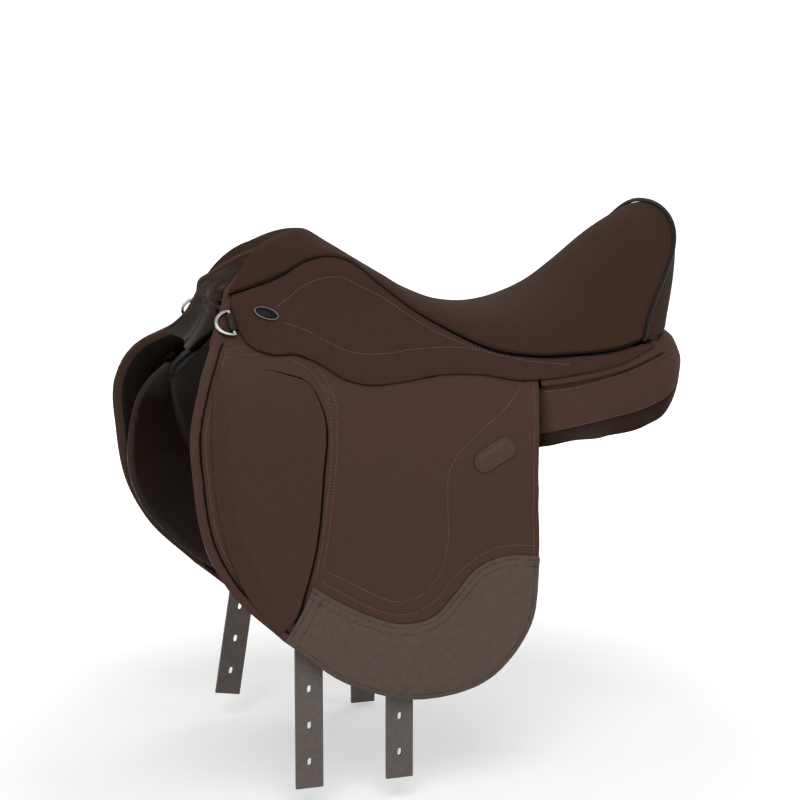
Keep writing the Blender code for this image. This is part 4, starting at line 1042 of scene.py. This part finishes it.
# %% [markdown]
# ## The seat
# The seat is one deep padded piece under a suede-like cloth. Its centre line dips between pommel
# and cantle, and each line across it is an arc that ends on the seam. Rows and columns are
# closer together near the edges, where the cloth turns down to the seam. In front the same
# cloth carries on, down to the rim of the arch.

# %% Seat
SEAT_RISE = 4.4                 # the seat's edge stands this far above the flap's face
SEAT_THICK = 13.4
SEAT_ROUND = 4.0
SEAT_EDGE_POWER = 1.1           # above 1 the seat stays flatter before it falls to its seam
RIM_SWEEP = 5.0                 # how late the rim turns forward on its way to the corner
SWEEP_FROM = 0.6                # the lines across start to sweep from this share of the seat on
LEAST_SPEED = 160.0             # keeps the rows apart where they meet at the corners
DRAW_SLOPE = 0.8                # how much the underside draws in for its depth
SEAT_LENGTH = 440.0
SEAT_NET = (151, 97)            # its rows from front to back, and its columns
EDGE_INSET = 0.6
ARCH_RIM = ((0, -140, 208), (15, -148, 204), (30, -163, 194), (52, -189, 173))  # half width, x, height
RIM_NOSE = 5.0                  # rounds the rim where it turns over the top
RIM_FULL = 0.35                 # how full the cloth is above the rim
FACE_ROWS = 16
FACE_FULL = 0.12                # how full the cloth is between the seat's front and the rim
FACE_THICK = 3.0
SEAT_STATIONS = ((-124, 220, -186, 46), (-99, 229, -140, 66), (-72, 215, -84, 50), (-44, 198, -50, 40),
                 (-20, 183, -19, 52), (4, 169, 2, 56), (39, 155, 38, 62), (75, 149, 75, 68),
                 (107, 150, 110, 74), (140, 158, 145, 78), (173, 173, 175, 80), (205, 197, 197, 82),
                 (240, 226, 209, 84), (276, 247, 216, 86))


def seat_surface(u, v):
    """The seat's top at shares u from front to back and v from the left seam, -1, to the right, 1."""
    table = np.array(SEAT_STATIONS, float)
    u, v = (np.asarray(a, float).reshape(-1) for a in np.broadcast_arrays(u, v))
    centre_x, centre_z, edge_x, angle = smooth_curve(np.arange(len(table)), table, u * (len(table) - 1)).T
    edge = lay(edge_x, read_table(SEAM, edge_x)[..., 0], SEAT_RISE)
    whole = np.radians(angle)
    across = np.sin(whole * np.abs(v)) / np.sin(whole)
    fall = ((1 - np.cos(whole * np.abs(v))) / (1 - np.cos(whole)))**SEAT_EDGE_POWER
    sweep = across**(1 + (RIM_SWEEP - 1) * np.maximum(0, u - SWEEP_FROM) / (1 - SWEEP_FROM))
    return np.stack([centre_x + (edge[:, 0] - centre_x) * sweep, np.sign(v) * edge[:, 1] * across,
                     centre_z - (centre_z - edge[:, 2]) * fall], 1)


def seat_normal(u, v):
    """Outward directions of the seat's top."""
    along = seat_surface(np.minimum(u + 0.01, 1), v) - seat_surface(np.maximum(u - 0.01, 0), v)
    across = seat_surface(u, np.minimum(v + 0.01, 1)) - seat_surface(u, np.maximum(v - 0.01, -1))
    return unit(np.cross(along, across))


def edge_speed(u):
    """Millimetres of the seat for each unit of v beside the seam."""
    return np.linalg.norm(seat_surface(u, 1) - seat_surface(u, 0.95), axis=1) / 0.05


def end_speed(end, v):
    """Millimetres of the seat for each unit of u beside its front, 0, or its rim, 1."""
    inner = 0.03 if end == 0 else 0.97
    apart = np.linalg.norm(seat_surface(end, v) - seat_surface(inner, v), axis=1)
    return np.maximum(apart / 0.03, LEAST_SPEED)


def seat_layer(u, v, inset):
    """The seat's places drawn in from its edge, their normals and their distance to that edge."""
    start = inset / end_speed(0, v)
    stop = 1 - inset / end_speed(1, v)
    row = start + (stop - start) * u
    column = v * (1 - inset / edge_speed(row))
    gap = np.minimum((1 - u) * SEAT_LENGTH, (1 - np.abs(v)) * edge_speed(row))
    return seat_surface(row, column), seat_normal(row, column), gap


def arch_rim(v):
    """The rim of the arch's opening, and the way into the arch there."""
    reach = np.abs(v) * ARCH_RIM[-1][0]
    soft = np.sqrt(reach**2 + RIM_NOSE**2) - RIM_NOSE * (1 - np.abs(v))
    x, z = read_table(ARCH_RIM, soft).T
    lean = v * radians(75)
    return np.stack([x, np.sign(v) * reach, z], 1), -np.stack([0 * v, np.sin(lean), np.cos(lean)], 1)


rows, columns = np.meshgrid(np.linspace(0, 1, SEAT_NET[0]), np.linspace(-1, 1, SEAT_NET[1]), indexing="ij")
seat_u = ((1 - np.cos(pi * rows)) / 2).ravel()
seat_v = np.sin(pi / 2 * columns).ravel()
spots, normal, gap = seat_layer(seat_u, seat_v, EDGE_INSET)
seat_top = (spots - normal * rounded(gap, SEAT_ROUND)[:, None]).reshape(*SEAT_NET, 3)
spots, normal, _ = seat_layer(seat_u, seat_v, UNDER_SEAM + DRAW_SLOPE * SEAT_THICK)
seat_under = (spots - normal * SEAT_THICK).reshape(*SEAT_NET, 3)
front_row = seat_top[0]
rim_row, _ = arch_rim(seat_v[:SEAT_NET[1]])
drop = front_row - rim_row
first = front_row + unit(front_row - seat_top[3]) * np.linalg.norm(drop, axis=1)[:, None] * FACE_FULL
last = rim_row + drop * RIM_FULL
share = np.linspace(0, 1, FACE_ROWS, False)[:, None, None]
face_top = ((1 - share)**3 * rim_row + 3 * (1 - share)**2 * share * last + 3 * (1 - share) * share**2 * first
            + share**3 * front_row)
seat_top = np.concatenate([face_top, seat_top])
seat_under = np.concatenate([face_top + (FACE_THICK, 0.0, 0.0), seat_under])
seat = sheet_between(seat_top, seat_under, "suede_seat", SEAT_CLOTH)
dress(seat, "root", "seat_suede", "seat_cover", "seat_foam")

# %% [markdown]
# ## Piping and the front's welt
# A bead of dark leather stands up round the cantle's rim, and a thin one lies in the seam along
# both sides, dark as painted shade for the seam's shadow line. At the front the cloth turns down
# to the arch, where a welt runs along the rim and on down both sides into the flaps' welts.

# %% Piping and welt
RIM_BEAD = 2.1
RIM_PROUD = 0.9
SEAM_SHADE_BEAD = 0.6
SEAM_DEEP = 1.6
SEAM_POINTS = 150
WELT_BEAD = 2.6
WELT_DEPTH = -2.4               # where it runs into the flap's front
SEAM_FILL = (0.5, -2.6, 3.0)    # the filler behind the seam: how far below it, its depth and its radius

rim_u = np.concatenate([np.linspace(0.97, 1, 6, False), np.ones(81), np.linspace(1, 0.97, 7)[1:]])
rim_side = np.concatenate([-np.ones(6), np.linspace(-1, 1, 81), np.ones(6)])
rim_path = seat_surface(rim_u, rim_side) + seat_normal(rim_u, rim_side) * RIM_PROUD
bead("rim_bead", rim_path, RIM_BEAD, PIPING_LEATHER, "root", "dark_leather", "seat_piping")
for name, side in SIDES.items():
    seam_u = np.linspace(0.005, 0.985, SEAM_POINTS)
    seam_v = np.full(SEAM_POINTS, float(side))
    seam_path = seat_surface(seam_u, seam_v) - seat_normal(seam_u, seam_v) * SEAM_DEEP
    # The seam's bead is dark piping leather: painted shade for the seam's dark line.
    bead(f"{name}_seam_shade_bead", seam_path, SEAM_SHADE_BEAD, PIPING_LEATHER, "root", "dark_leather", sides=8)
    fill_path = lay(*seam_line(205, -165, SEAM_FILL[0]).T, SEAM_FILL[1], side)
    bead(f"{name}_seam_filler", fill_path, SEAM_FILL[2], LINING_LEATHER, "root", "dark_leather", sides=8)

arch_line = arch_rim(np.linspace(-0.97, 0.97, 61))[0] - (1.0, 0.0, 0.0)
right_end = [Vector(lay(x, z, WELT_DEPTH)[0]) for x, z in stretch(((-191, 163), (-200, 145), (-214, 128)))]
left_end = [Vector((p.x, -p.y, p.z)) for p in right_end]
welt_path = stretch([*left_end[::-1], *arch_line[::3], *right_end])


def welt_size(share):
    """Full along the rim, thin where it sinks into the flaps' fronts."""
    return WELT_BEAD * (0.3 + 0.7 * float(ease(min(share, 1 - share) / 0.16)))


bead("pommel_welt", welt_path, welt_size, CLOTH, "root", "brown_fabric", "pommel_facing", sides=16)
print("pommel welt:", len(welt_path), "sections")

# %% [markdown]
# ## The lining of the arch
# Behind the welt, glossy leather lines the arch and wraps the front of the tree. It wrinkles
# where it turns down towards the panels.

# %% Arch lining
LINING = 1.6
LINING_LEG_Z = 170              # its legs run from this height down to that one
LINING_FOOT_Z = 124.0
FOLD_AT = 0.48                  # where the folds lie, from the crown, 0, to the foot, 1
FOLD_SIZE = (0.9, 0.1)
PLATE_SHOULDER_Z = 186.0
PLATE_FOOT_Z = 120.0
PLATE_CROWN = 22.0
PLATE_TOP = -26.7
CROWN_PART = 0.4                # the arch's crown takes this share of its run, and its legs the rest


def arch_place(x, t, depth):
    """The gullet arch at x: t runs from the left foot, -1, over the top to the right foot, 1."""
    x, t = (np.asarray(a, float).reshape(-1) for a in np.broadcast_arrays(x, t))
    shoulder = lay(x, PLATE_SHOULDER_Z, depth)
    share = np.clip((np.abs(t) - CROWN_PART) / (1 - CROWN_PART), 0, 1)
    leg = lay(x, PLATE_SHOULDER_Z + (PLATE_FOOT_Z - PLATE_SHOULDER_Z) * share, depth)
    turn = np.clip(t / CROWN_PART, -1, 1) * pi / 2
    rise = PLATE_CROWN + (depth - PLATE_TOP)
    crown = np.stack([shoulder[:, 0], shoulder[:, 1] * np.sin(turn), shoulder[:, 2] + rise * np.cos(turn)], 1)
    leg[:, 1] *= np.sign(t)
    return np.where((np.abs(t) > CROWN_PART)[:, None], leg, crown)


def flap_front_x(z):
    """The x of the flap's front edge at a height."""
    line = stretch(FLAP_FRONT)[::-1]
    return np.interp(z, line[:, 1], line[:, 0])


def rail_front_x(z):
    """The x of the tree rail's front edge at a height."""
    return np.interp(z, (78, 120, 160), (-196, -190, -176))


LINING_NET = (45, 161)
LINING_PLACES = (0, 1, 2, 3.5, 5.5)
lining_t = np.linspace(-1, 1, LINING_NET[1])
crown = np.abs(lining_t) < CROWN_PART
leg_z = np.interp(np.abs(lining_t), (CROWN_PART, 1), (LINING_LEG_Z, LINING_FOOT_Z))
crown_v = np.clip(lining_t / CROWN_PART, -1, 1)
crown_rim, crown_in = arch_rim(crown_v)
crown_side = np.abs(crown_v)[:, None]


def lining_row(x, depth, top_depth, top_back, side_back):
    """One row of the lining: along both flaps' fronts, and over the arch between them.

    Over the arch it lies top_depth inside the rim, and runs back by less or more at the side.
    """
    inward = top_depth + (-depth - top_depth) * crown_side**1.5
    back = top_back + (side_back - top_back) * crown_side
    arch = crown_rim + crown_in * inward + back * np.array((1.0, 0.0, 0.0))
    leg = lay(x, leg_z, depth)
    leg[:, 1] *= np.where(lining_t < 0, -1, 1)
    return np.where(crown[:, None], arch, leg)


rail_x = rail_front_x(leg_z)
lining_rows = [lining_row(flap_front_x(leg_z) + 1, -3.2, 1.6, 1.0, 0.5),
               lining_row(rail_x - 9, -12.0, 4.5, 5.0, 4.0), lining_row(rail_x - 6, -24.0, 5.0, 10.0, 7.0),
               lining_row(-158, -31.0, 4.0, 18.0, 31.0), arch_place(-112, lining_t, -31)]
lining_net = smooth_curve(LINING_PLACES, np.stack(lining_rows).reshape(len(LINING_PLACES), -1),
                          np.linspace(0, LINING_PLACES[-1], LINING_NET[0])).reshape(*LINING_NET, 3)
for turn in range(3):
    lining_net[:, 1:-1] = (lining_net[:, :-2] + 2 * lining_net[:, 1:-1] + lining_net[:, 2:]) / 4


def net_normals(net):
    """Outward directions at the points of a net."""
    normal = np.cross(np.gradient(net, axis=0), np.gradient(net, axis=1))
    return normal / np.maximum(np.linalg.norm(normal, axis=2, keepdims=True), 1e-9)


lining_out = net_normals(lining_net)
wave = np.sin(np.abs(lining_t) * 60 + 2 * np.sin(np.arange(LINING_NET[0]) / 7)[:, None])
folds = wave * groove(np.abs(lining_t) - FOLD_AT, FOLD_SIZE)
lining_net = lining_net + lining_out * folds[..., None]
lining = sheet_between(lining_net, lining_net - lining_out * LINING, "arch_lining", GLOSSY_LEATHER)
dress(lining, "root", "dark_leather")
print("lining:", len(lining.data.polygons), "faces")

# %% [markdown]
# ## The cantle's back
# Behind the rim the same cloth falls to the panels. It is a net from the rim's bead down to a
# foot that bows backwards.

# %% Cantle
CORNER = (219.0, 128.0, 119.0)
CANTLE_FOOT = (268.0, 152.0)
CANTLE_BULGE = 6.0
CANTLE_NARROW = 0.94
CANTLE_LEAST = 8.0
CANTLE_OUT = 3.6
CANTLE_THICK = 2.0
CANTLE_TUCK = (2.2, 2.4)        # how far it starts below the rim, and in front of it
RIM_REACH = 0.985               # the share of the rim it hangs from

rim_v = np.sin(np.linspace(-1, 1, SEAT_NET[1]) * pi / 2) * RIM_REACH
rim = seat_surface(1, rim_v)
rim_back = unit(rim - seat_surface(0.97, rim_v))
rim_top = rim - seat_normal(np.ones_like(rim_v), rim_v) * CANTLE_TUCK[0] - rim_back * CANTLE_TUCK[1]
flat = np.maximum(0, 1 - (rim_top[:, 1] / CORNER[1])**2)
foot_z = np.minimum(CORNER[2] + (CANTLE_FOOT[1] - CORNER[2]) * flat, rim_top[:, 2] - CANTLE_LEAST)
foot_x = CORNER[0] + (CANTLE_FOOT[0] - CORNER[0]) * flat**0.4
foot = np.stack([foot_x, rim_top[:, 1] * CANTLE_NARROW, foot_z], 1)
share = np.linspace(0, 1, 41)[:, None, None]
cantle = rim_top * (1 - share) + foot * share + rim_back * CANTLE_OUT
cantle[..., 0] += CANTLE_BULGE * np.sin(pi * share[..., 0]) * flat
back = sheet_between(cantle, cantle - rim_back * CANTLE_THICK, "cantle_back", CANTLE_CLOTH)
dress(back, "root", "brown_fabric", "cantle_facing")

# %% [markdown]
# ## The panels
# The two stuffed panels carry the saddle on the horse. Each is a closed skin through rings: its
# outside follows the side form behind the flap, its underside the horse's back. Cloth covers the
# outside at the rear, with a welt above and a leather gusset below.

# %% Panels
PLATE_THICK = 3.0
SWEAT_BACK = -16.9
CHANNEL = 76.0
PANEL_ROUND = 34.0
PANEL_EDGE = 7.0
PANEL_ROOM = 5.0
PANEL_SAG = 2.0                 # how far the underside may hang below the panel's lower edge
PANEL_SWELL = 3.5
PANEL_FREE = (84, 18)           # its side comes out from under the flap from this x on, over this far
PANEL_STIFF = (20, 40)          # and makes room for the tree from this height on, over this far
PANEL_FULL = (112, 30)          # its inner edge is its own from this x on, over this far
LINE_SEAM = (1.5, 1.8)          # depth and width of the seam along its low line
BEAD_UP = 3.5                   # the welt's bead: how far above its seam it lies, and its size
BEAD_SIZE = (1.6, 3.0)
BEAD_SEAM = (1.6, 1.6)
DROP_Y = 130.0
BACK = ((-215, 126, 150, 2.2), (-60, 84, 90, 2.0), (60, 62, 58, 1.8), (200, 50, 32, 1.6), (275, 62, 30, 1.6))
PANEL = ((-208, 40, 120, 128), (-190, 0, 138, 146), (-150, -30, 150, 158), (-90, -30, 150, 160),
         (-30, -16, 128, 140), (30, 4, 100, 112), (90, 24, 84, 98), (130, 28, 88, 104), (180, 23, 96, 116),
         (225, 30, 112, 132), (252, 46, 132, 145), (264, 62, 132, 142), (270, 74, 122, 130))
PANEL_WELT = ((60, 78), (102, 82), (124, 83), (157, 86), (193, 92), (218, 100), (242, 110), (270, 122))
PANEL_LINE = ((60, 38), (87, 40), (113, 41), (140, 41), (166, 41), (187, 42), (208, 45), (229, 51),
              (255, 66), (270, 84))
REAR_FROM = 78                  # cloth and gusset show behind this x
OUTSIDE = 30                    # columns of the panel's outer side
GUSSET = 8                      # of these, under the low line
ROUND = 44                      # columns of its underside and inside


def horse_back(x, y):
    """The height of the horse's back where the panels lie."""
    spine, drop, power = read_table(BACK, x)
    return spine - drop * (np.abs(y) / DROP_Y)**power


def panel_depth(x, z, line, welt):
    """The depth of a panel's outer side, padded between its welt and its low line behind the flap."""
    behind = np.clip((x - PANEL_FREE[0]) / PANEL_FREE[1], 0, 1)
    stiff = np.clip((z - PANEL_STIFF[0]) / PANEL_STIFF[1], 0, 1)
    under = SWEAT_BACK + (PLATE_TOP - PLATE_THICK - SWEAT_BACK) * stiff - PANEL_ROOM
    middle = np.clip((z - line) / np.maximum(welt - line, 1), 0, 1)
    swell = PANEL_SWELL * np.sin(pi * middle)**0.6 * (z > line) - groove(z - line, LINE_SEAM)
    swell += groove(z - welt - BEAD_UP, BEAD_SIZE) - groove(z - welt, BEAD_SEAM)
    return under * (1 - behind) + (swell - PANEL_EDGE) * behind


def panel_ring(x):
    """One closed section of a panel, its outer side first, with its middle and its share of full size."""
    low, high, inner = read_table(PANEL, x)
    line = float(np.clip(read_table(PANEL_LINE, x)[0], low + 2, high - 4))
    welt = float(read_table(PANEL_WELT, x)[0])
    z = np.concatenate([np.linspace(high, line, OUTSIDE - GUSSET, False), np.linspace(line, low, GUSSET)])
    side = lay(x, z, panel_depth(x, z, line, welt))
    middle = CHANNEL / 2
    behind = np.clip((x - PANEL_FULL[0]) / PANEL_FULL[1], 0, 1)
    inner = min(inner, side[0, 2] + 0.4 * (side[0, 1] - middle)) if behind < 1 else inner
    floor = horse_back(x, middle)
    edge = side[-1, 1]
    under = [(y, max(horse_back(x, y), low - PANEL_SAG)) for y in np.linspace(edge - 16, middle + 5, 6)]
    bend = ((under[0][0] + edge) / 2 + 2, (under[0][1] + side[-1, 2]) / 2 - 1)
    wall = [(middle, inner - 4 + (floor + 11 - inner) * k / 2) for k in (2, 1, 0)]
    roof = ((side[0, 1] + middle + 4) / 2, (side[0, 2] + inner) / 2)
    cross = np.array([side[-1, 1:], bend, *under, *wall, (middle + 4, inner), roof, side[0, 1:]])
    along = run_along(cross)
    rest = smooth_curve(along, cross, np.linspace(0, along[-1], ROUND + 2)[1:-1])
    ring = np.concatenate([side, np.concatenate([np.full((ROUND, 1), x), rest], 1)])
    nearest = min(x - PANEL[0][0], PANEL[-1][0] - x)
    size = max(0.01, 1 - (1 - min(nearest / PANEL_ROUND, 1))**2)**0.5
    centre = ring.mean(axis=0)
    return centre + (ring - centre) * (1, size, size), centre, size


def on_panel(places, level, side):
    """Places of a pattern on the panel's outer side, level above it."""
    x, z = places.T
    line, welt = (read_table(table, x)[:, 0] for table in (PANEL_LINE, PANEL_WELT))
    spots = lay(x, z, panel_depth(x, z, line, welt) + level)
    middle = np.stack([np.interp(x, panel_x, middles[:, k]) for k in range(3)], 1)
    size = np.interp(x, panel_x, sizes)[:, None]
    spots[:, 1:] = (middle + (spots - middle) * size)[:, 1:]
    return spots * (1, side, 1)


span = PANEL[-1][0] - PANEL[0][0]
panel_x = (PANEL[0][0] + PANEL[-1][0]) / 2 + span / 2 * np.sin(np.linspace(-1, 1, 121) * pi / 2) * 0.9999
rings, middles, sizes = (np.array(part) for part in zip(*[panel_ring(x) for x in panel_x]))
PANEL_ROWS = [stretch([(x, z + up) for x, z in line]) for line, up in
              ((PANEL_LINE[2:-1], 2.2), (PANEL_WELT[1:-1], -3.0), (PANEL_WELT[1:-1], 2.6))]
for turn in range(2):
    soft = (np.roll(rings, 1, 1) + 2 * rings + np.roll(rings, -1, 1)) / 4
    rings[:, OUTSIDE:] = soft[:, OUTSIDE:]
for name, side in SIDES.items():
    net = rings * (1, side, 1)
    mesh = bmesh.new()
    bmesh.ops.create_grid(mesh, x_segments=len(net) - 1, y_segments=OUTSIDE + ROUND, size=0.5)
    layer = mesh.loops.layers.uv.new("pattern")
    for face in mesh.faces:
        j = round((face.calc_center_median().y + 0.5) * (OUTSIDE + ROUND) - 0.5)
        i = round((face.calc_center_median().x + 0.5) * (len(net) - 1) - 0.5)
        rear = net[i, 0, 0] > REAR_FROM
        face.material_index = (0 if j < OUTSIDE - GUSSET else 1) if (rear and j < OUTSIDE) else 2
    for v in mesh.verts:
        i = round((v.co.x + 0.5) * (len(net) - 1))
        j = round((v.co.y + 0.5) * (OUTSIDE + ROUND)) % (OUTSIDE + ROUND)
        for loop in v.link_loops:
            loop[layer].uv = (net[i, j, 0] * MM, net[i, j, 2] * MM)
        v.co = net[i, j]
    bmesh.ops.remove_doubles(mesh, verts=mesh.verts[:], dist=1e-4)
    bmesh.ops.holes_fill(mesh, edges=[e for e in mesh.edges if e.is_boundary], sides=0)
    bmesh.ops.recalc_face_normals(mesh, faces=mesh.faces[:])
    panel = keep(mesh, f"{name}_stuffed_panel", PANEL_CLOTH, GUSSET_LEATHER, LINING_LEATHER)
    dress(panel, "root", "panel_leather", f"{name}_panel")
    thread = sew(f"{name}_panel_stitches", side, PANEL_ROWS, 0.3, PALE_THREAD,
                 lambda p, level: on_panel(p, level, side))
    dress(thread, "root", "panel_leather")
    print(panel.name, len(panel.data.polygons), "faces")

# %% [markdown]
# ## Sweat flaps, trim and hardware
# The sweat flap lies between the flap and the horse: thick glossy leather with rounded edges.
# The nail, the D ring and its keeper are small, so they are modelled straight in place.

# %% Sweat flaps
SWEAT_TOP = -13.9
SWEAT_THICK = 6.4
SWEAT_FRONT = ((-205, 96), (-232, 50), (-243, 5), (-244, -30), (-230, -72), (-202, -106), (-166, -137),
               (-130, -158))
SWEAT_LOW = ((-130, -158), (-60, -176), (0, -172), (48, -140), (70, -80), (74, -20), (74, 34))
SWEAT_HIGH = ((74, 34), (0, 52), (-80, 75), (-160, 98), (-205, 96))
SWEAT_EDGE = outline(SWEAT_FRONT, SWEAT_LOW, SWEAT_HIGH)


def sweat_face(places):
    """Its outer face, with a low roll along the edge."""
    gap = gap_to(places, SWEAT_EDGE, closed=True)
    return SWEAT_TOP - 0.8 * ease(gap / 14)


sweat_flat = cut_sheet(SWEAT_EDGE, 4.0, (0.4, 0.7, 1.1))
for name, side in SIDES.items():
    sweat = lay_sheet(sweat_flat, f"{name}_inner_flap", side, SWEAT_EDGE, sweat_face, SWEAT_TOP - SWEAT_THICK,
                      GLOSSY_LEATHER, radius=2.8)
    dress(sweat, "root", "dark_leather", f"{name}_sweat_flap")

# %% Nail, D ring and keeper
NAIL_PLACE = (-153.0, 151.0)
NAIL_SIZE = (25.0, 13.0)
NAIL_TURN = 20.0
NAIL_RIM = 0.9
NAIL_DOME = ((0.93, 0.0), (0.93, 1.0), (0.80, 1.9), (0.5, 2.5), (0.2, 2.7))    # share of its size, height
DEE_PLACE = (-188.0, 143.0)
DEE_WIRE = 3.4
DEE_WIDTH = 26.0
DEE_DEPTH = 15.0
DEE_TILT = -4.0
DEE_ROOM = 2.0
DEE_LIFT = 1.6
TAB_WIDTH = 18.0


def oval(centre, first, second, long, high, count=48):
    """Points round an oval along two directions."""
    turns = [2 * pi * k / count for k in range(count)]
    return [centre + first * long * cos(at) + second * high * sin(at) for at in turns]


for name, side in SIDES.items():
    origin, along, up, out = local_frame(*NAIL_PLACE, -NAIL_TURN, side, FIT + SKIRT + 0.6)
    long, high = NAIL_SIZE[0] / 2, NAIL_SIZE[1] / 2
    rim_ring = oval(origin + out * NAIL_RIM, along, up, long - NAIL_RIM, high - NAIL_RIM)
    bead(f"{name}_nail_rim", rim_ring, NAIL_RIM, DARK_CHROME, "root", "chrome", f"{name}_saddle_nail",
         closed=True)
    mesh = bmesh.new()
    loops = []
    for share, lift in NAIL_DOME:
        verts = [mesh.verts.new(p) for p in oval(origin + out * lift, along, up, long * share, high * share)]
        loops.append([mesh.edges.new((a, b)) for a, b in zip(verts, verts[1:] + verts[:1])])
    bridge(mesh, loops)
    dress(keep(mesh, f"{name}_nail_centre", ENAMEL), "root", "chrome")

    origin, along, up, out = local_frame(*DEE_PLACE, 90 - DEE_TILT, side, DEE_LIFT + DEE_ROOM + DEE_WIRE / 2)
    forward = up if up.x < 0 else -up
    half = DEE_WIDTH / 2
    ring = [origin + along * half * (k / 12 * 2 - 1) for k in range(1, 12)]
    ring += [origin + along * half * cos(at) + forward * DEE_DEPTH * sin(at) for at in np.linspace(0, pi, 33)]
    bead(f"{name}_ring", ring, DEE_WIRE / 2, CHROME, f"{name}_dee_body", "chrome", f"{name}_dee_ring",
         sides=14, closed=True)
    keeper = [origin + along * TAB_WIDTH * (k / 8 - 0.5) for k in range(9)]
    bead(f"{name}_ring_keeper", keeper, DEE_WIRE / 2 + DEE_ROOM, GLOSSY_LEATHER, "root", "dark_leather",
         f"{name}_dee_tab", sides=28)

# %% [markdown]
# ## The solids that stay
# The hidden parts keep their solids: tree, rails, bars, catches, webs and straps only get their
# finishes.

# %% Finishes of the solids
FINISHES = {"tree_shell": TREE_PLASTIC, "gullet_plate": STEEL, "tree_rail": TREE_PLASTIC,
            "stirrup_bar": STEEL, "bar_catch": STEEL, "catch_pin": CHROME, "bar_rivet": STEEL,
            "girth_web": WEBBING, "front_strap": STRAP_LEATHER, "rear_strap": STRAP_LEATHER,
            "point_pocket": GLOSSY_LEATHER}
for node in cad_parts:
    plain = node.removeprefix("left_").removeprefix("right_")
    solid = bpy.data.objects.get(node)
    if plain in FINISHES and solid:
        for slot in solid.material_slots:
            slot.material = FINISHES[plain]

# %% Finish
low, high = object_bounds()
